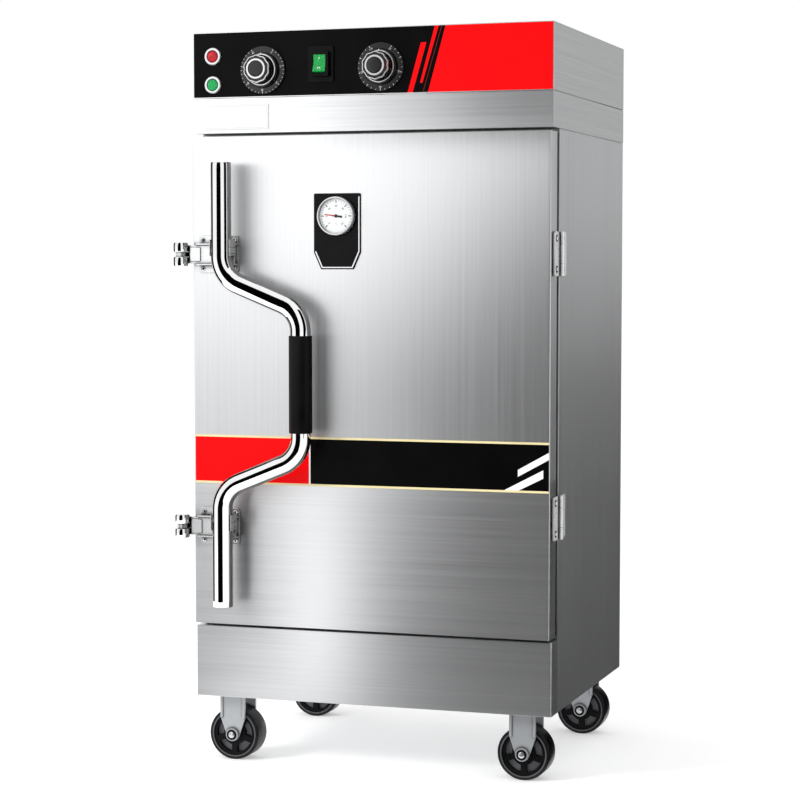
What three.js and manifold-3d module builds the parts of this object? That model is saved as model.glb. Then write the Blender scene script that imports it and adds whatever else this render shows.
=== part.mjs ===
// Rice steamer cabinet: insulated steaming cavity with eight trays, one hinged door, casters.
// Millimetres, +Z up, the front faces -Y. While the pieces are placed, Y is zero at the front of
// the header band. The whole group is then moved so that its origin lies on the floor, under the
// middle of its bounding box.

import * as THREE from 'three';
import { mergeVertices } from 'three/addons/utils/BufferGeometryUtils.js';
import Module from 'manifold-3d';

const wasm = await Module();
wasm.setup();

// Clearances shared by all pieces
const FIT_GAP = 0.3;
const OVERRUN = 3;
const WELD_OVERLAP = 0.5;
const MERGE_DISTANCE = 0.0001;

// Cabinet body
const CABINET_WIDTH = 700;
const CABINET_DEPTH = 560;
const BODY_UNDERSIDE = 128;
const PLINTH_HEIGHT = 136;
const HEADER_HEIGHT = 66;
const CONTROL_HEIGHT = 123;
const FRONT_OVERHANG = 45;
const SKIN = 1.5;
const SHELL_CORNER_RADIUS = 4;
const PLINTH_CORNER_RADIUS = 4;
const PLINTH_FLANGE = 14;

// Door
const DOOR_HEIGHT = 920;
const DOOR_GAP = 6;
const DOOR_PROUD = 10;
const DOOR_SIDE_INSET = 2;
const DOOR_CORNER_RADIUS = 3;
const DOOR_RETURN = 14;
const DOOR_PLUG_SIDE = 50;
const DOOR_PLUG_PROUD = 14;
const DOOR_PLUG_SLOPE = 6;
const GASKET_SPACE = 10;
const GASKET_INSET = 14;
const GASKET_WIDTH = 16;
const GASKET_LIP = 3;
const GASKET_CORNER_RADIUS = 22;

// Cavity and liner
const LINER_WALL = 1.5;
const SIDE_INSULATION = 38;
const BACK_INSULATION = 38;
const LINER_FLOOR_RAISE = 53;
const SILL_HEIGHT = 35;
const LINTEL_HEIGHT = 35;
const VENT_RADIUS = 16;
const VENT_WALL = 1.5;
const VENT_REACH = 26;
const VENT_DROP = 70;
const VENT_INSET = 110;

// Base pan
const BASE_SHEET = 3;
const BASE_RIM = 42;
const LIFT_PAD_LENGTH = 380;
const LIFT_PAD_DEPTH = 300;
const LIFT_PAD_SHEET = 4;

// Trays and their racks
const TRAY_COUNT = 8;
const TRAY_SIDE_SPACE = 1.1;
const TRAY_FRONT_SPACE = 22;
const TRAY_REAR_SPACE = 48.4;
const TRAY_HEIGHT = 48;
const TRAY_SHEET = 1;
const TRAY_RIM = 6;
const TRAY_CORNER_RADIUS = 22;
const TRAY_PITCH = 98;
const LOWEST_RAIL_RAISE = 26;
const RACK_UPRIGHT = 4;
const RACK_UPRIGHT_WIDTH = 20;
const RAIL_SHEET = 2;
const RAIL_LEDGE = 20;
const RAIL_LEG = 14;
const RAIL_OVERHANG = 10;
const RACK_END = 16;

// Sump: heating element and baffle
const HEATER_TUBE_RADIUS = 5;
const HEATER_BEND_RADIUS = 32;
const HEATER_FRONT_SPACE = 49;
const HEATER_LOOP_INSET = 217;
const HEATER_RAISE = 38;
const HEATER_PLATE_HEIGHT = 44;
const HEATER_PLATE_SIDE = 30;
const HEATER_PLATE = 3;
const BAFFLE_SHEET = 1.5;
const BAFFLE_RAISE = 108;
const BAFFLE_SIDE_SPACE = 18;
const BAFFLE_REAR_SPACE = 10.9;
const BAFFLE_SLOT_LENGTH = 60;
const BAFFLE_SLOT_WIDTH = 14;
const BAFFLE_COLUMNS = 5;
const BAFFLE_ROWS = 4;
const BAFFLE_SLOT_MARGIN = 50;

// Control gear, knobs, lamps and switch
const GEAR_PLATE = 2;
const GEAR_PLATE_HEIGHT = 70;
const GEAR_BODY = 46;
const GEAR_BODY_DEPTH = 38;
const SHAFT_RADIUS = 3;
const SHAFT_HOLE_RADIUS = 5;
const SHAFT_REACH = 22;
const TIMER_INSET = 142;
const TIMER_TO_SWITCH = 115;
const SWITCH_TO_THERMOSTAT = 117;
const KNOB_DROP = 73;
const SKIRT_RADIUS = 44.5;
const SKIRT_THICKNESS = 5;
const SKIRT_BEVEL = 1.5;
const KNOB_STEP_RADIUS = 33;
const KNOB_STEP_HEIGHT = 9;
const KNOB_GRIP_RADIUS = 26;
const KNOB_GRIP_HEIGHT = 22;
const KNOB_GRIP_SIDES = 10;
const KNOB_CAP_RADIUS = 17.5;
const KNOB_CAP_HEIGHT = 5;
const KNOB_BORE_DEPTH = 24;
const LAMP_INSET = 41;
const RED_LAMP_DROP = 45;
const GREEN_LAMP_DROP = 98;
const LAMP_BEZEL_RADIUS = 16.5;
const LAMP_BEZEL_HEIGHT = 5;
const LAMP_LENS_RADIUS = 10.5;
const LAMP_LENS_HEIGHT = 4;
const LAMP_STEM_RADIUS = 11;
const LAMP_STEM_DEPTH = 26;
const SWITCH_DROP = 65;
const SWITCH_WIDTH = 50;
const SWITCH_HEIGHT = 66;
const SWITCH_FLANGE = 4;
const SWITCH_COLLAR_WIDTH = 36;
const SWITCH_COLLAR_HEIGHT = 46;
const SWITCH_COLLAR_RISE = 9;
const SWITCH_BODY_DEPTH = 26;
const SWITCH_CORNER_RADIUS = 3;
const ROCKER_WIDTH = 24;
const ROCKER_RADIUS = 16;
const ROCKER_GAP = 0.6;
const ROCKER_TILT = 8;
const ROCKER_CREST = 7;
const ROCKER_END_RISE = 10;
const LOUVRE_COUNT = 6;
const LOUVRE_WIDTH = 90;
const LOUVRE_HEIGHT = 6;
const LOUVRE_PITCH = 14;
const LOUVRE_INSET = 190;

// Handle: a cranked round tube with a grip sleeve
const TUBE_RADIUS = 19;
const TUBE_SIDES = 16;
const TUBE_END_ROUND = 2;
const HANDLE_INSET = 79;
const HANDLE_STANDOFF = 47;
const HANDLE_CRANK = 157;
const HANDLE_ABOVE_MIDDLE = 410;
const HANDLE_BELOW_MIDDLE = 420;
const HANDLE_BEND_RADIUS = 55;
const HANDLE_BEND_ANGLE = 68;
const HANDLE_GRIP_RUN = 196;
const GRIP_LENGTH = 180;
const GRIP_RADIUS = 21.6;
const GRIP_END_ROUND = 2;

// Latch: bracket, tongue, keeper and roller
const UPPER_LATCH_RISE = 240;
const LOWER_LATCH_DROP = 273;
const BRACKET_WIDTH = 79;
const BRACKET_EDGE_INSET = 16;
const BRACKET_HEIGHT = 70;
const BRACKET_SHEET = 3;
const BRACKET_CORNER = 6;
const TONGUE_HEIGHT = 34;
const TONGUE_THICKNESS = 14;
const TONGUE_TRAVEL = 18;
const TONGUE_TIP = 2.5;
const TONGUE_END_WALL = 4;
const BRIDGE_LENGTH = 40;
const BEARING_WALL = 2.7;
const BEARING_HEIGHT = 30;
const BEARING_RISE = 12;
const BEARING_FOOT_WIDTH = 34;
const BEARING_SIDES = 20;
const FINGER_RADIUS = 5;
const FINGER_NECK = 6;
const FINGER_HEIGHT = 10;
const FINGER_RISE = 7;
const FINGER_SLOT_HEIGHT = 11.4;
const ROLLER_RADIUS = 14;
const ROLLER_HEIGHT = 45;
const ROLLER_SLOT = 10;
const ROLLER_NECK_RADIUS = 5;
const ROLLER_ROUND = 3.5;
const ROLLER_DOOR_GAP = 1.6;
const KEEPER_ARM = 9.2;
const KEEPER_EYE_WALL = 4.5;
const KEEPER_SHEET = 3;
const KEEPER_FOOT_START = 8;
const KEEPER_FOOT_LENGTH = 44;
const KEEPER_FOOT_HEIGHT = 56;
const KEEPER_CORNER = 6;

// Hinges
const HINGE_SPREAD = 240;
const HINGE_HEIGHT = 80;
const HINGE_SHEET = 2.5;
const HINGE_BARREL_RADIUS = 5;
const HINGE_PIN_RADIUS = 3;
const HINGE_KNUCKLE_GAP = 0.5;
const HINGE_LEAF_REACH = 40;
const HINGE_MIDDLE_KNUCKLE = 36;
const HINGE_LEAF_CORNER = 5;

// Thermometer
const GAUGE_INSET = 292;
const GAUGE_RISE = 310;
const GAUGE_PLATE_WIDTH = 92;
const GAUGE_PLATE_ABOVE = 42;
const GAUGE_PLATE_BELOW = 98;
const GAUGE_PLATE_SHEET = 1.5;
const GAUGE_CHAMFER_X = 14;
const GAUGE_CHAMFER_Z = 31;
const GAUGE_CORNER_RADIUS = 3;
const GAUGE_RADIUS = 36;
const GAUGE_DEPTH = 13;
const GAUGE_RIM = 4;
const GAUGE_RIM_ROUND = 2;
const GAUGE_DIAL_DEPTH = 7;
const GAUGE_LENS_SHEET = 1.5;
const GAUGE_LENS_DEPTH = 2;
const GAUGE_STEM_RADIUS = 5;
const GAUGE_STEM_LENGTH = 70;
const NEEDLE_LENGTH = 23;
const NEEDLE_TAIL = 9;
const NEEDLE_WIDTH = 2.4;
const NEEDLE_SHEET = 0.8;
const NEEDLE_HUB_RADIUS = 3.2;
const NEEDLE_ANGLE = 172;

// Fittings on the back
const FLOAT_BOX_WIDTH = 170;
const FLOAT_BOX_HEIGHT = 130;
const FLOAT_BOX_DEPTH = 40;
const FLOAT_BOX_LID = 14;
const FLOAT_BOX_LID_LIP = 3;
const FLOAT_BOX_INSET = 160;
const FLOAT_BOX_RAISE = 92;
const FLOAT_BOX_CORNER = 6;
const INLET_RADIUS = 10.5;
const INLET_LENGTH = 22;
const INLET_NUT_RADIUS = 12.5;
const INLET_NUT_LENGTH = 9;
const INLET_BORE_RADIUS = 7;
const DRAIN_RADIUS = 10.5;
const DRAIN_BORE_RADIUS = 8;
const DRAIN_INSET = 140;
const DRAIN_RAISE = 20;
const VALVE_OFFSET = 24;
const VALVE_BODY_RADIUS = 17;
const VALVE_BODY_LENGTH = 24;
const VALVE_NUT_RADIUS = 15;
const VALVE_NUT_LENGTH = 9;
const VALVE_STEM_RADIUS = 4;
const VALVE_STEM_HEIGHT = 8;
const LEVER_SHEET = 3;
const LEVER_HUB_RADIUS = 9;
const LEVER_LENGTH = 58;
const LEVER_WIDTH = 13;
const LEVER_DROP = 8;
const GLAND_INSET = 80;
const GLAND_RAISE = 40;
const GLAND_THREAD_RADIUS = 11;
const GLAND_NUT_RADIUS = 15;
const GLAND_NUT_LENGTH = 8;
const GLAND_DOME_LENGTH = 14;
const GLAND_DOME_RADIUS = 9;
const GLAND_BORE_RADIUS = 6;
const GLAND_INSIDE = 10;

// Casters
const WHEEL_RADIUS = 50;
const WHEEL_WIDTH = 46;
const WHEEL_SIDES = 20;
const WHEEL_EDGE = 3;
const WHEEL_RIM = 8;
const WHEEL_RECESS = 3;
const WHEEL_HUB_RADIUS = 16;
const WHEEL_BORE_RADIUS = 6.4;
const WHEEL_POCKETS = 5;
const WHEEL_POCKET_DEPTH = 9;
const WHEEL_SPOKE = 11;
const WHEEL_SIDE_GAP = 2;
const CASTER_HEIGHT = 132;
const CASTER_INSET_X = 62;
const CASTER_INSET_Y = 58;
const CASTER_SHEET = 4;
const CASTER_PLATE_LENGTH = 92;
const CASTER_PLATE_WIDTH = 78;
const CASTER_PLATE_CORNER = 6;
const FORK_WIDTH = 50;
const FORK_STRAIGHT_END = 82;
const FORK_TIP_RADIUS = 13;
const FORK_RIB = 2;
const FORK_RIB_WIDTH = 5;
const AXLE_RADIUS = 6;
const AXLE_HEAD_RADIUS = 9.5;
const AXLE_HEAD_HEIGHT = 6;

// Levels and planes worked out from the sizes above
const HALF_WIDTH = CABINET_WIDTH / 2;
const PLINTH_TOP = BODY_UNDERSIDE + PLINTH_HEIGHT;
const DOOR_BOTTOM = PLINTH_TOP + DOOR_GAP;
const DOOR_TOP = DOOR_BOTTOM + DOOR_HEIGHT;
const DOOR_MIDDLE = DOOR_BOTTOM + DOOR_HEIGHT / 2;
const HEADER_BOTTOM = DOOR_TOP + DOOR_GAP;
const HEADER_TOP = HEADER_BOTTOM + HEADER_HEIGHT;
const CABINET_TOP = HEADER_TOP + CONTROL_HEIGHT;
const BODY_FRONT = FRONT_OVERHANG;
const DOOR_FACE = -DOOR_PROUD;
const DOOR_BACK = BODY_FRONT - GASKET_SPACE;
const DOOR_SIDE = HALF_WIDTH - DOOR_SIDE_INSET;
const PAN_HALF = HALF_WIDTH - SKIN - FIT_GAP;
const PAN_BACK = CABINET_DEPTH - SKIN - FIT_GAP;
const PAN_FLOOR = CASTER_HEIGHT + FIT_GAP;
const JACKET_HALF = PAN_HALF - BASE_SHEET - FIT_GAP;
const JACKET_FRONT = BODY_FRONT + LINER_WALL + FIT_GAP;
const JACKET_BACK = PAN_BACK - BASE_SHEET - FIT_GAP;
const LINER_HALF = JACKET_HALF - SIDE_INSULATION;
const LINER_BACK = JACKET_BACK - BACK_INSULATION;
const LINER_FLOOR = PAN_FLOOR + LINER_FLOOR_RAISE;
const LINER_TOP = DOOR_TOP - LINTEL_HEIGHT;
const OPENING_BOTTOM = DOOR_BOTTOM + SILL_HEIGHT;
const SUMP_FLOOR = LINER_FLOOR + LINER_WALL;
const VENT_X = LINER_HALF - VENT_INSET;
const VENT_Z = LINER_TOP - VENT_DROP;
const BAFFLE_TOP = SUMP_FLOOR + BAFFLE_RAISE;
const LOWEST_RAIL = BAFFLE_TOP + LOWEST_RAIL_RAISE;
const CAVITY_HALF = LINER_HALF - LINER_WALL;
const CAVITY_FRONT = BODY_FRONT + LINER_WALL;
const CAVITY_BACK = LINER_BACK - LINER_WALL;
const TRAY_FRONT = BODY_FRONT + TRAY_FRONT_SPACE;
const TRAY_REAR = CAVITY_BACK - TRAY_REAR_SPACE;
const RACK_FACE = CAVITY_HALF - FIT_GAP - RACK_UPRIGHT;
const TRAY_HALF = RACK_FACE - TRAY_SIDE_SPACE;
const HANDLE_X = -HALF_WIDTH + HANDLE_INSET;
const HANDLE_Y = DOOR_FACE - HANDLE_STANDOFF;
const TONGUE_BACK = DOOR_FACE - FIT_GAP - BRACKET_SHEET - FIT_GAP;
const TONGUE_FRONT = TONGUE_BACK - TONGUE_THICKNESS;
const TONGUE_MIDDLE = TONGUE_BACK - TONGUE_THICKNESS / 2;
const FINGER_REACH = TONGUE_MIDDLE - HANDLE_Y;
const FINGER_REST_ANGLE = Math.asin(TONGUE_TRAVEL / 2 / FINGER_REACH);
const ROLLER_X = -HALF_WIDTH - ROLLER_RADIUS - ROLLER_DOOR_GAP + DOOR_SIDE_INSET;
const RAMP_RUN = TONGUE_THICKNESS - TONGUE_TIP;
const ROLLER_OFFSET = (ROLLER_RADIUS + FIT_GAP) * Math.SQRT1_2;
const TONGUE_TIP_X = ROLLER_X + ROLLER_OFFSET - RAMP_RUN / 2;
const ROLLER_Y = TONGUE_BACK - TONGUE_TIP - RAMP_RUN / 2 - ROLLER_OFFSET;
const HINGE_X = HALF_WIDTH + HINGE_BARREL_RADIUS + WELD_OVERLAP;
const HINGE_Y = (DOOR_BACK + BODY_FRONT) / 2;
const TIMER_X = -HALF_WIDTH + TIMER_INSET;
const KNOB_Z = CABINET_TOP - KNOB_DROP;
const LAMP_X = -HALF_WIDTH + LAMP_INSET;
const SWITCH_X = TIMER_X + TIMER_TO_SWITCH;
const THERMOSTAT_X = SWITCH_X + SWITCH_TO_THERMOSTAT;
const SWITCH_Z = CABINET_TOP - SWITCH_DROP;
const ROCKER_Y = -SWITCH_FLANGE;
const GAUGE_X = -HALF_WIDTH + GAUGE_INSET;
const GAUGE_Z = DOOR_MIDDLE + GAUGE_RISE;
const GAUGE_BACK = DOOR_FACE - FIT_GAP - GAUGE_PLATE_SHEET - FIT_GAP;
const DRAIN_X = HALF_WIDTH - DRAIN_INSET;
const DRAIN_Z = SUMP_FLOOR + DRAIN_RAISE;
const VALVE_Y = CABINET_DEPTH + VALVE_OFFSET;
const GLAND_X = HALF_WIDTH - GLAND_INSET;
const GLAND_Z = HEADER_TOP + GLAND_RAISE;

const COLOURS = {
  brushed: 0xc4c7c9,
  bright: 0xd8dadb,
  polished: 0xe6e8ea,
  inner: 0xb9bcbe,
  zinc: 0xa9adb0,
  black: 0x16171a,
  nylon: 0x1c1d20,
  rubber: 0x1a1a1b,
  silicone: 0x8f9497,
  foam: 0xd9cf9c,
  green: 0x0fa04a,
  red: 0xc8131c,
  brass: 0xb08d45,
  grey: 0x6e7376,
  glass: 0xdfe8ea,
};

const radians = THREE.MathUtils.degToRad;

// Shape helpers

function rectangle(x0, x1, y0, y1) {
  const shape = new THREE.Shape();
  shape.moveTo(x0, y0);
  shape.lineTo(x1, y0);
  shape.lineTo(x1, y1);
  shape.lineTo(x0, y1);
  shape.closePath();
  return shape;
}

// A rectangle with quarter-round corners, each drawn in a few steps
function roundedRectangle(x0, x1, y0, y1, radius, steps = 2) {
  const corners = [
    [x1 - radius, y0 + radius, -1],
    [x1 - radius, y1 - radius, 0],
    [x0 + radius, y1 - radius, 1],
    [x0 + radius, y0 + radius, 2],
  ];
  const points = corners.flatMap(([x, y, quarter]) => Array.from({ length: steps + 1 }, (_, i) => {
    const angle = (quarter + i / steps) * Math.PI / 2;
    return [x + radius * Math.cos(angle), y + radius * Math.sin(angle)];
  }));
  return polygon(points);
}

function polygon(points) {
  return new THREE.Shape(points.map(([x, y]) => new THREE.Vector2(x, y)));
}

function circle(x, y, radius) {
  const shape = new THREE.Shape();
  shape.absarc(x, y, radius, 0, 2 * Math.PI, false);
  return shape;
}

// A shape drawn in X and Y, raised from z0 to z1
function slabZ(shape, z0, z1, curveSegments = 2) {
  const settings = { depth: z1 - z0, bevelEnabled: false, curveSegments };
  return new THREE.ExtrudeGeometry(shape, settings).translate(0, 0, z0);
}

// A shape drawn in X and Z, carried from y0 to y1
function slabY(shape, y0, y1, curveSegments = 2) {
  const settings = { depth: y1 - y0, bevelEnabled: false, curveSegments };
  return new THREE.ExtrudeGeometry(shape, settings).rotateX(Math.PI / 2).translate(0, y1, 0);
}

// A shape drawn in Y and Z, carried from x0 to x1
function slabX(shape, x0, x1, curveSegments = 2) {
  const settings = { depth: x1 - x0, bevelEnabled: false, curveSegments };
  const turn = new THREE.Matrix4().makeBasis(
    new THREE.Vector3(0, 1, 0), new THREE.Vector3(0, 0, 1), new THREE.Vector3(1, 0, 0));
  return new THREE.ExtrudeGeometry(shape, settings).applyMatrix4(turn).translate(x0, 0, 0);
}

function block(x0, x1, y0, y1, z0, z1) {
  return slabZ(rectangle(x0, x1, y0, y1), z0, z1);
}

// Leaves out the triangles that a profile's ends shrink to nothing on the axis
function withoutSlivers(geometry) {
  const corners = geometry.index.array;
  const kept = [];
  for (let i = 0; i < corners.length; i += 3) {
    const [a, b, c] = corners.slice(i, i + 3);
    if (a !== b && b !== c && c !== a) {
      kept.push(a, b, c);
    }
  }
  return geometry.setIndex(kept);
}

function signedVolume(geometry) {
  const positions = geometry.attributes.position;
  const index = geometry.index.array;
  const corner = [new THREE.Vector3(), new THREE.Vector3(), new THREE.Vector3()];
  let volume = 0;
  for (let i = 0; i < index.length; i += 3) {
    corner.forEach((point, k) => point.fromBufferAttribute(positions, index[i + k]));
    volume += corner[0].dot(corner[1].clone().cross(corner[2])) / 6;
  }
  return volume;
}

// A profile of [radius, height] points turned about +Z, with its faces pointing out
function turned(profile, sides) {
  const points = profile.map(([radius, height]) => new THREE.Vector2(radius, height));
  const lathe = new THREE.LatheGeometry(points, sides);
  lathe.deleteAttribute('normal');
  lathe.deleteAttribute('uv');
  const geometry = withoutSlivers(mergeVertices(lathe, MERGE_DISTANCE));
  if (signedVolume(geometry) < 0) {
    geometry.index.array.reverse();
  }
  return geometry.rotateX(Math.PI / 2);
}

// The same, pointing along -Y (towards the front) or +Y
function turnedForward(profile, sides) {
  return turned(profile, sides).rotateX(Math.PI / 2);
}

function turnedBack(profile, sides) {
  return turned(profile, sides).rotateX(-Math.PI / 2);
}

// Radius of a faceted hole whose flats clear a round pin by the gap
function boreFor(radius, sides = 12) {
  return (radius + FIT_GAP) / Math.cos(Math.PI / sides);
}

function cylinderZ(x, y, radius, z0, z1, sides = 12) {
  return turned([[0, z0], [radius, z0], [radius, z1], [0, z1]], sides).translate(x, y, 0);
}

function cylinderY(x, z, radius, y0, y1, sides = 12) {
  return turnedBack([[0, y0], [radius, y0], [radius, y1], [0, y1]], sides).translate(x, 0, z);
}

function cylinderX(y, z, radius, x0, x1, sides = 12) {
  return turned([[0, x0], [radius, x0], [radius, x1], [0, x1]], sides)
    .rotateY(Math.PI / 2).translate(0, y, z);
}

// A round section carried along stations, each a point and a direction
class StationPath extends THREE.Curve {
  constructor(stations) {
    super();
    this.stations = stations;
  }

  blend(share, key) {
    const place = THREE.MathUtils.clamp(share, 0, 1) * (this.stations.length - 1);
    const before = Math.min(Math.floor(place), this.stations.length - 2);
    const from = this.stations[before][key];
    const to = this.stations[before + 1][key];
    return from.clone().lerp(to, place - before);
  }

  getPoint(share) {
    return this.blend(share, 'point');
  }

  getPointAt(share) {
    return this.getPoint(share);
  }

  getTangent(share) {
    return this.blend(share, 'direction').normalize();
  }

  getTangentAt(share) {
    return this.getTangent(share);
  }
}

// A path in one plane as a list of straight runs and turns
function stationsAlong(start, heading, side, moves) {
  const stations = [];
  const point = start.clone();
  let angle = 0;
  const direction = () => heading.clone().multiplyScalar(Math.cos(angle))
    .addScaledVector(side, Math.sin(angle));
  const record = () => stations.push({ point: point.clone(), direction: direction() });
  record();
  for (const move of moves) {
    if (move.run !== undefined) {
      point.addScaledVector(direction(), move.run);
      record();
    } else {
      const step = move.turn / move.steps;
      for (let i = 0; i < move.steps; i += 1) {
        const chord = 2 * move.radius * Math.sin(Math.abs(step) / 2);
        angle += step / 2;
        point.addScaledVector(direction(), chord);
        angle += step / 2;
        record();
      }
    }
  }
  return stations;
}

function sweptTube(stations, radius, sides) {
  const settings = { steps: stations.length - 1, extrudePath: new StationPath(stations) };
  settings.curveSegments = sides / 2;
  return new THREE.ExtrudeGeometry(circle(0, 0, radius), settings);
}

// Joining and cutting of closed solids

function solidOf(geometry) {
  const plain = geometry.clone();
  plain.deleteAttribute('normal');
  plain.deleteAttribute('uv');
  const merged = mergeVertices(plain, MERGE_DISTANCE);
  return new wasm.Manifold(new wasm.Mesh({
    numProp: 3,
    vertProperties: Float32Array.from(merged.attributes.position.array),
    triVerts: Uint32Array.from(merged.index.array),
  }));
}

function geometryOf(solid) {
  const mesh = solid.getMesh();
  const geometry = new THREE.BufferGeometry();
  geometry.setAttribute('position', new THREE.BufferAttribute(mesh.vertProperties, 3));
  geometry.setIndex(new THREE.BufferAttribute(mesh.triVerts, 1));
  geometry.computeVertexNormals();
  return geometry;
}

function join(first, ...others) {
  return geometryOf(others.reduce((sum, other) => sum.add(solidOf(other)), solidOf(first)));
}

function cut(first, ...tools) {
  return geometryOf(tools.reduce((rest, tool) => rest.subtract(solidOf(tool)), solidOf(first)));
}

function common(first, second) {
  return geometryOf(solidOf(first).intersect(solidOf(second)));
}

// Cabinet body

function outerShell() {
  const rearCentre = CABINET_DEPTH - SHELL_CORNER_RADIUS;
  const sideCentre = HALF_WIDTH - SHELL_CORNER_RADIUS;
  const innerRadius = SHELL_CORNER_RADIUS - SKIN;
  const plan = new THREE.Shape();
  plan.moveTo(-HALF_WIDTH, BODY_FRONT);
  plan.lineTo(-HALF_WIDTH, rearCentre);
  plan.absarc(-sideCentre, rearCentre, SHELL_CORNER_RADIUS, Math.PI, Math.PI / 2, true);
  plan.lineTo(sideCentre, CABINET_DEPTH);
  plan.absarc(sideCentre, rearCentre, SHELL_CORNER_RADIUS, Math.PI / 2, 0, true);
  plan.lineTo(HALF_WIDTH, BODY_FRONT);
  plan.lineTo(HALF_WIDTH - SKIN, BODY_FRONT);
  plan.lineTo(HALF_WIDTH - SKIN, rearCentre);
  plan.absarc(sideCentre, rearCentre, innerRadius, 0, Math.PI / 2, false);
  plan.lineTo(-sideCentre, CABINET_DEPTH - SKIN);
  plan.absarc(-sideCentre, rearCentre, innerRadius, Math.PI / 2, Math.PI, false);
  plan.lineTo(-HALF_WIDTH + SKIN, BODY_FRONT);
  plan.closePath();
  const walls = slabZ(plan, BODY_UNDERSIDE, HEADER_BOTTOM - FIT_GAP);
  const back = [CABINET_DEPTH - SKIN - OVERRUN, CABINET_DEPTH + OVERRUN];
  return cut(walls,
    cylinderY(VENT_X, VENT_Z, VENT_RADIUS + FIT_GAP, ...back),
    cylinderY(DRAIN_X, DRAIN_Z, DRAIN_RADIUS + FIT_GAP, ...back));
}

function headerCap() {
  const outer = block(-HALF_WIDTH, HALF_WIDTH, 0, CABINET_DEPTH, HEADER_BOTTOM, HEADER_TOP);
  const inside = HALF_WIDTH - SKIN;
  const hollow = block(-inside, inside, SKIN, CABINET_DEPTH - SKIN,
    HEADER_BOTTOM + SKIN, HEADER_TOP - SKIN);
  const mouth = block(-inside, inside, BODY_FRONT + SKIN, CABINET_DEPTH - SKIN,
    HEADER_BOTTOM - OVERRUN, HEADER_TOP - SKIN);
  return cut(outer, hollow, mouth);
}

function controlHousing() {
  const floor = HEADER_TOP + FIT_GAP;
  const inside = HALF_WIDTH - SKIN;
  const outer = block(-HALF_WIDTH, HALF_WIDTH, 0, CABINET_DEPTH, floor, CABINET_TOP);
  const hollow = block(-inside, inside, SKIN, CABINET_DEPTH - SKIN,
    floor - OVERRUN, CABINET_TOP - SKIN);
  const front = [-OVERRUN, SKIN + OVERRUN];
  const back = [CABINET_DEPTH - SKIN - OVERRUN, CABINET_DEPTH + OVERRUN];
  const stem = LAMP_STEM_RADIUS + FIT_GAP;
  const holes = [
    cylinderY(LAMP_X, CABINET_TOP - RED_LAMP_DROP, stem, ...front),
    cylinderY(LAMP_X, CABINET_TOP - GREEN_LAMP_DROP, stem, ...front),
    cylinderY(TIMER_X, KNOB_Z, SHAFT_HOLE_RADIUS, ...front),
    cylinderY(THERMOSTAT_X, KNOB_Z, SHAFT_HOLE_RADIUS, ...front),
    slabY(switchBodyOutline(FIT_GAP), ...front),
    cylinderY(GLAND_X, GLAND_Z, GLAND_THREAD_RADIUS + FIT_GAP, ...back),
  ];
  const firstLouvre = GLAND_Z - LOUVRE_PITCH;
  for (let i = 0; i < LOUVRE_COUNT; i += 1) {
    const x0 = -HALF_WIDTH + LOUVRE_INSET;
    const z0 = firstLouvre + i * LOUVRE_PITCH;
    holes.push(block(x0, x0 + LOUVRE_WIDTH, ...back, z0, z0 + LOUVRE_HEIGHT));
  }
  return cut(outer, hollow, ...holes);
}

function plinth() {
  const rear = BODY_FRONT - FIT_GAP;
  const plan = new THREE.Shape();
  plan.moveTo(-HALF_WIDTH, rear);
  plan.lineTo(-HALF_WIDTH, PLINTH_CORNER_RADIUS);
  plan.absarc(-HALF_WIDTH + PLINTH_CORNER_RADIUS, PLINTH_CORNER_RADIUS, PLINTH_CORNER_RADIUS,
    Math.PI, 1.5 * Math.PI, false);
  plan.lineTo(HALF_WIDTH - PLINTH_CORNER_RADIUS, 0);
  plan.absarc(HALF_WIDTH - PLINTH_CORNER_RADIUS, PLINTH_CORNER_RADIUS, PLINTH_CORNER_RADIUS,
    1.5 * Math.PI, 2 * Math.PI, false);
  plan.lineTo(HALF_WIDTH, rear);
  plan.closePath();
  const outer = slabZ(plan, BODY_UNDERSIDE, PLINTH_TOP);
  const inside = HALF_WIDTH - SKIN;
  const hollow = block(-inside, inside, SKIN, rear + OVERRUN,
    BODY_UNDERSIDE + SKIN, PLINTH_TOP - SKIN);
  const lip = HALF_WIDTH - PLINTH_FLANGE;
  const mouth = block(-lip, lip, PLINTH_FLANGE, rear + OVERRUN,
    BODY_UNDERSIDE - OVERRUN, BODY_UNDERSIDE + PLINTH_HEIGHT / 2);
  return cut(outer, hollow, mouth);
}

// A folded pan with a doubling plate under its middle, where a jack or a stand carries the cabinet
function basePan() {
  const front = SKIN + FIT_GAP;
  const outer = slabZ(roundedRectangle(-PAN_HALF, PAN_HALF, front, PAN_BACK, SHELL_CORNER_RADIUS, 1),
    PAN_FLOOR, PAN_FLOOR + BASE_SHEET + BASE_RIM);
  const inside = PAN_HALF - BASE_SHEET;
  const hollow = block(-inside, inside, front + BASE_SHEET, PAN_BACK - BASE_SHEET,
    PAN_FLOOR + BASE_SHEET, PAN_FLOOR + BASE_SHEET + BASE_RIM + OVERRUN);
  const padFront = (CABINET_DEPTH - LIFT_PAD_DEPTH) / 2;
  const liftPad = block(-LIFT_PAD_LENGTH / 2, LIFT_PAD_LENGTH / 2,
    padFront, padFront + LIFT_PAD_DEPTH, PAN_FLOOR - LIFT_PAD_SHEET, PAN_FLOOR + WELD_OVERLAP);
  return cut(join(outer, liftPad), hollow);
}

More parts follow.
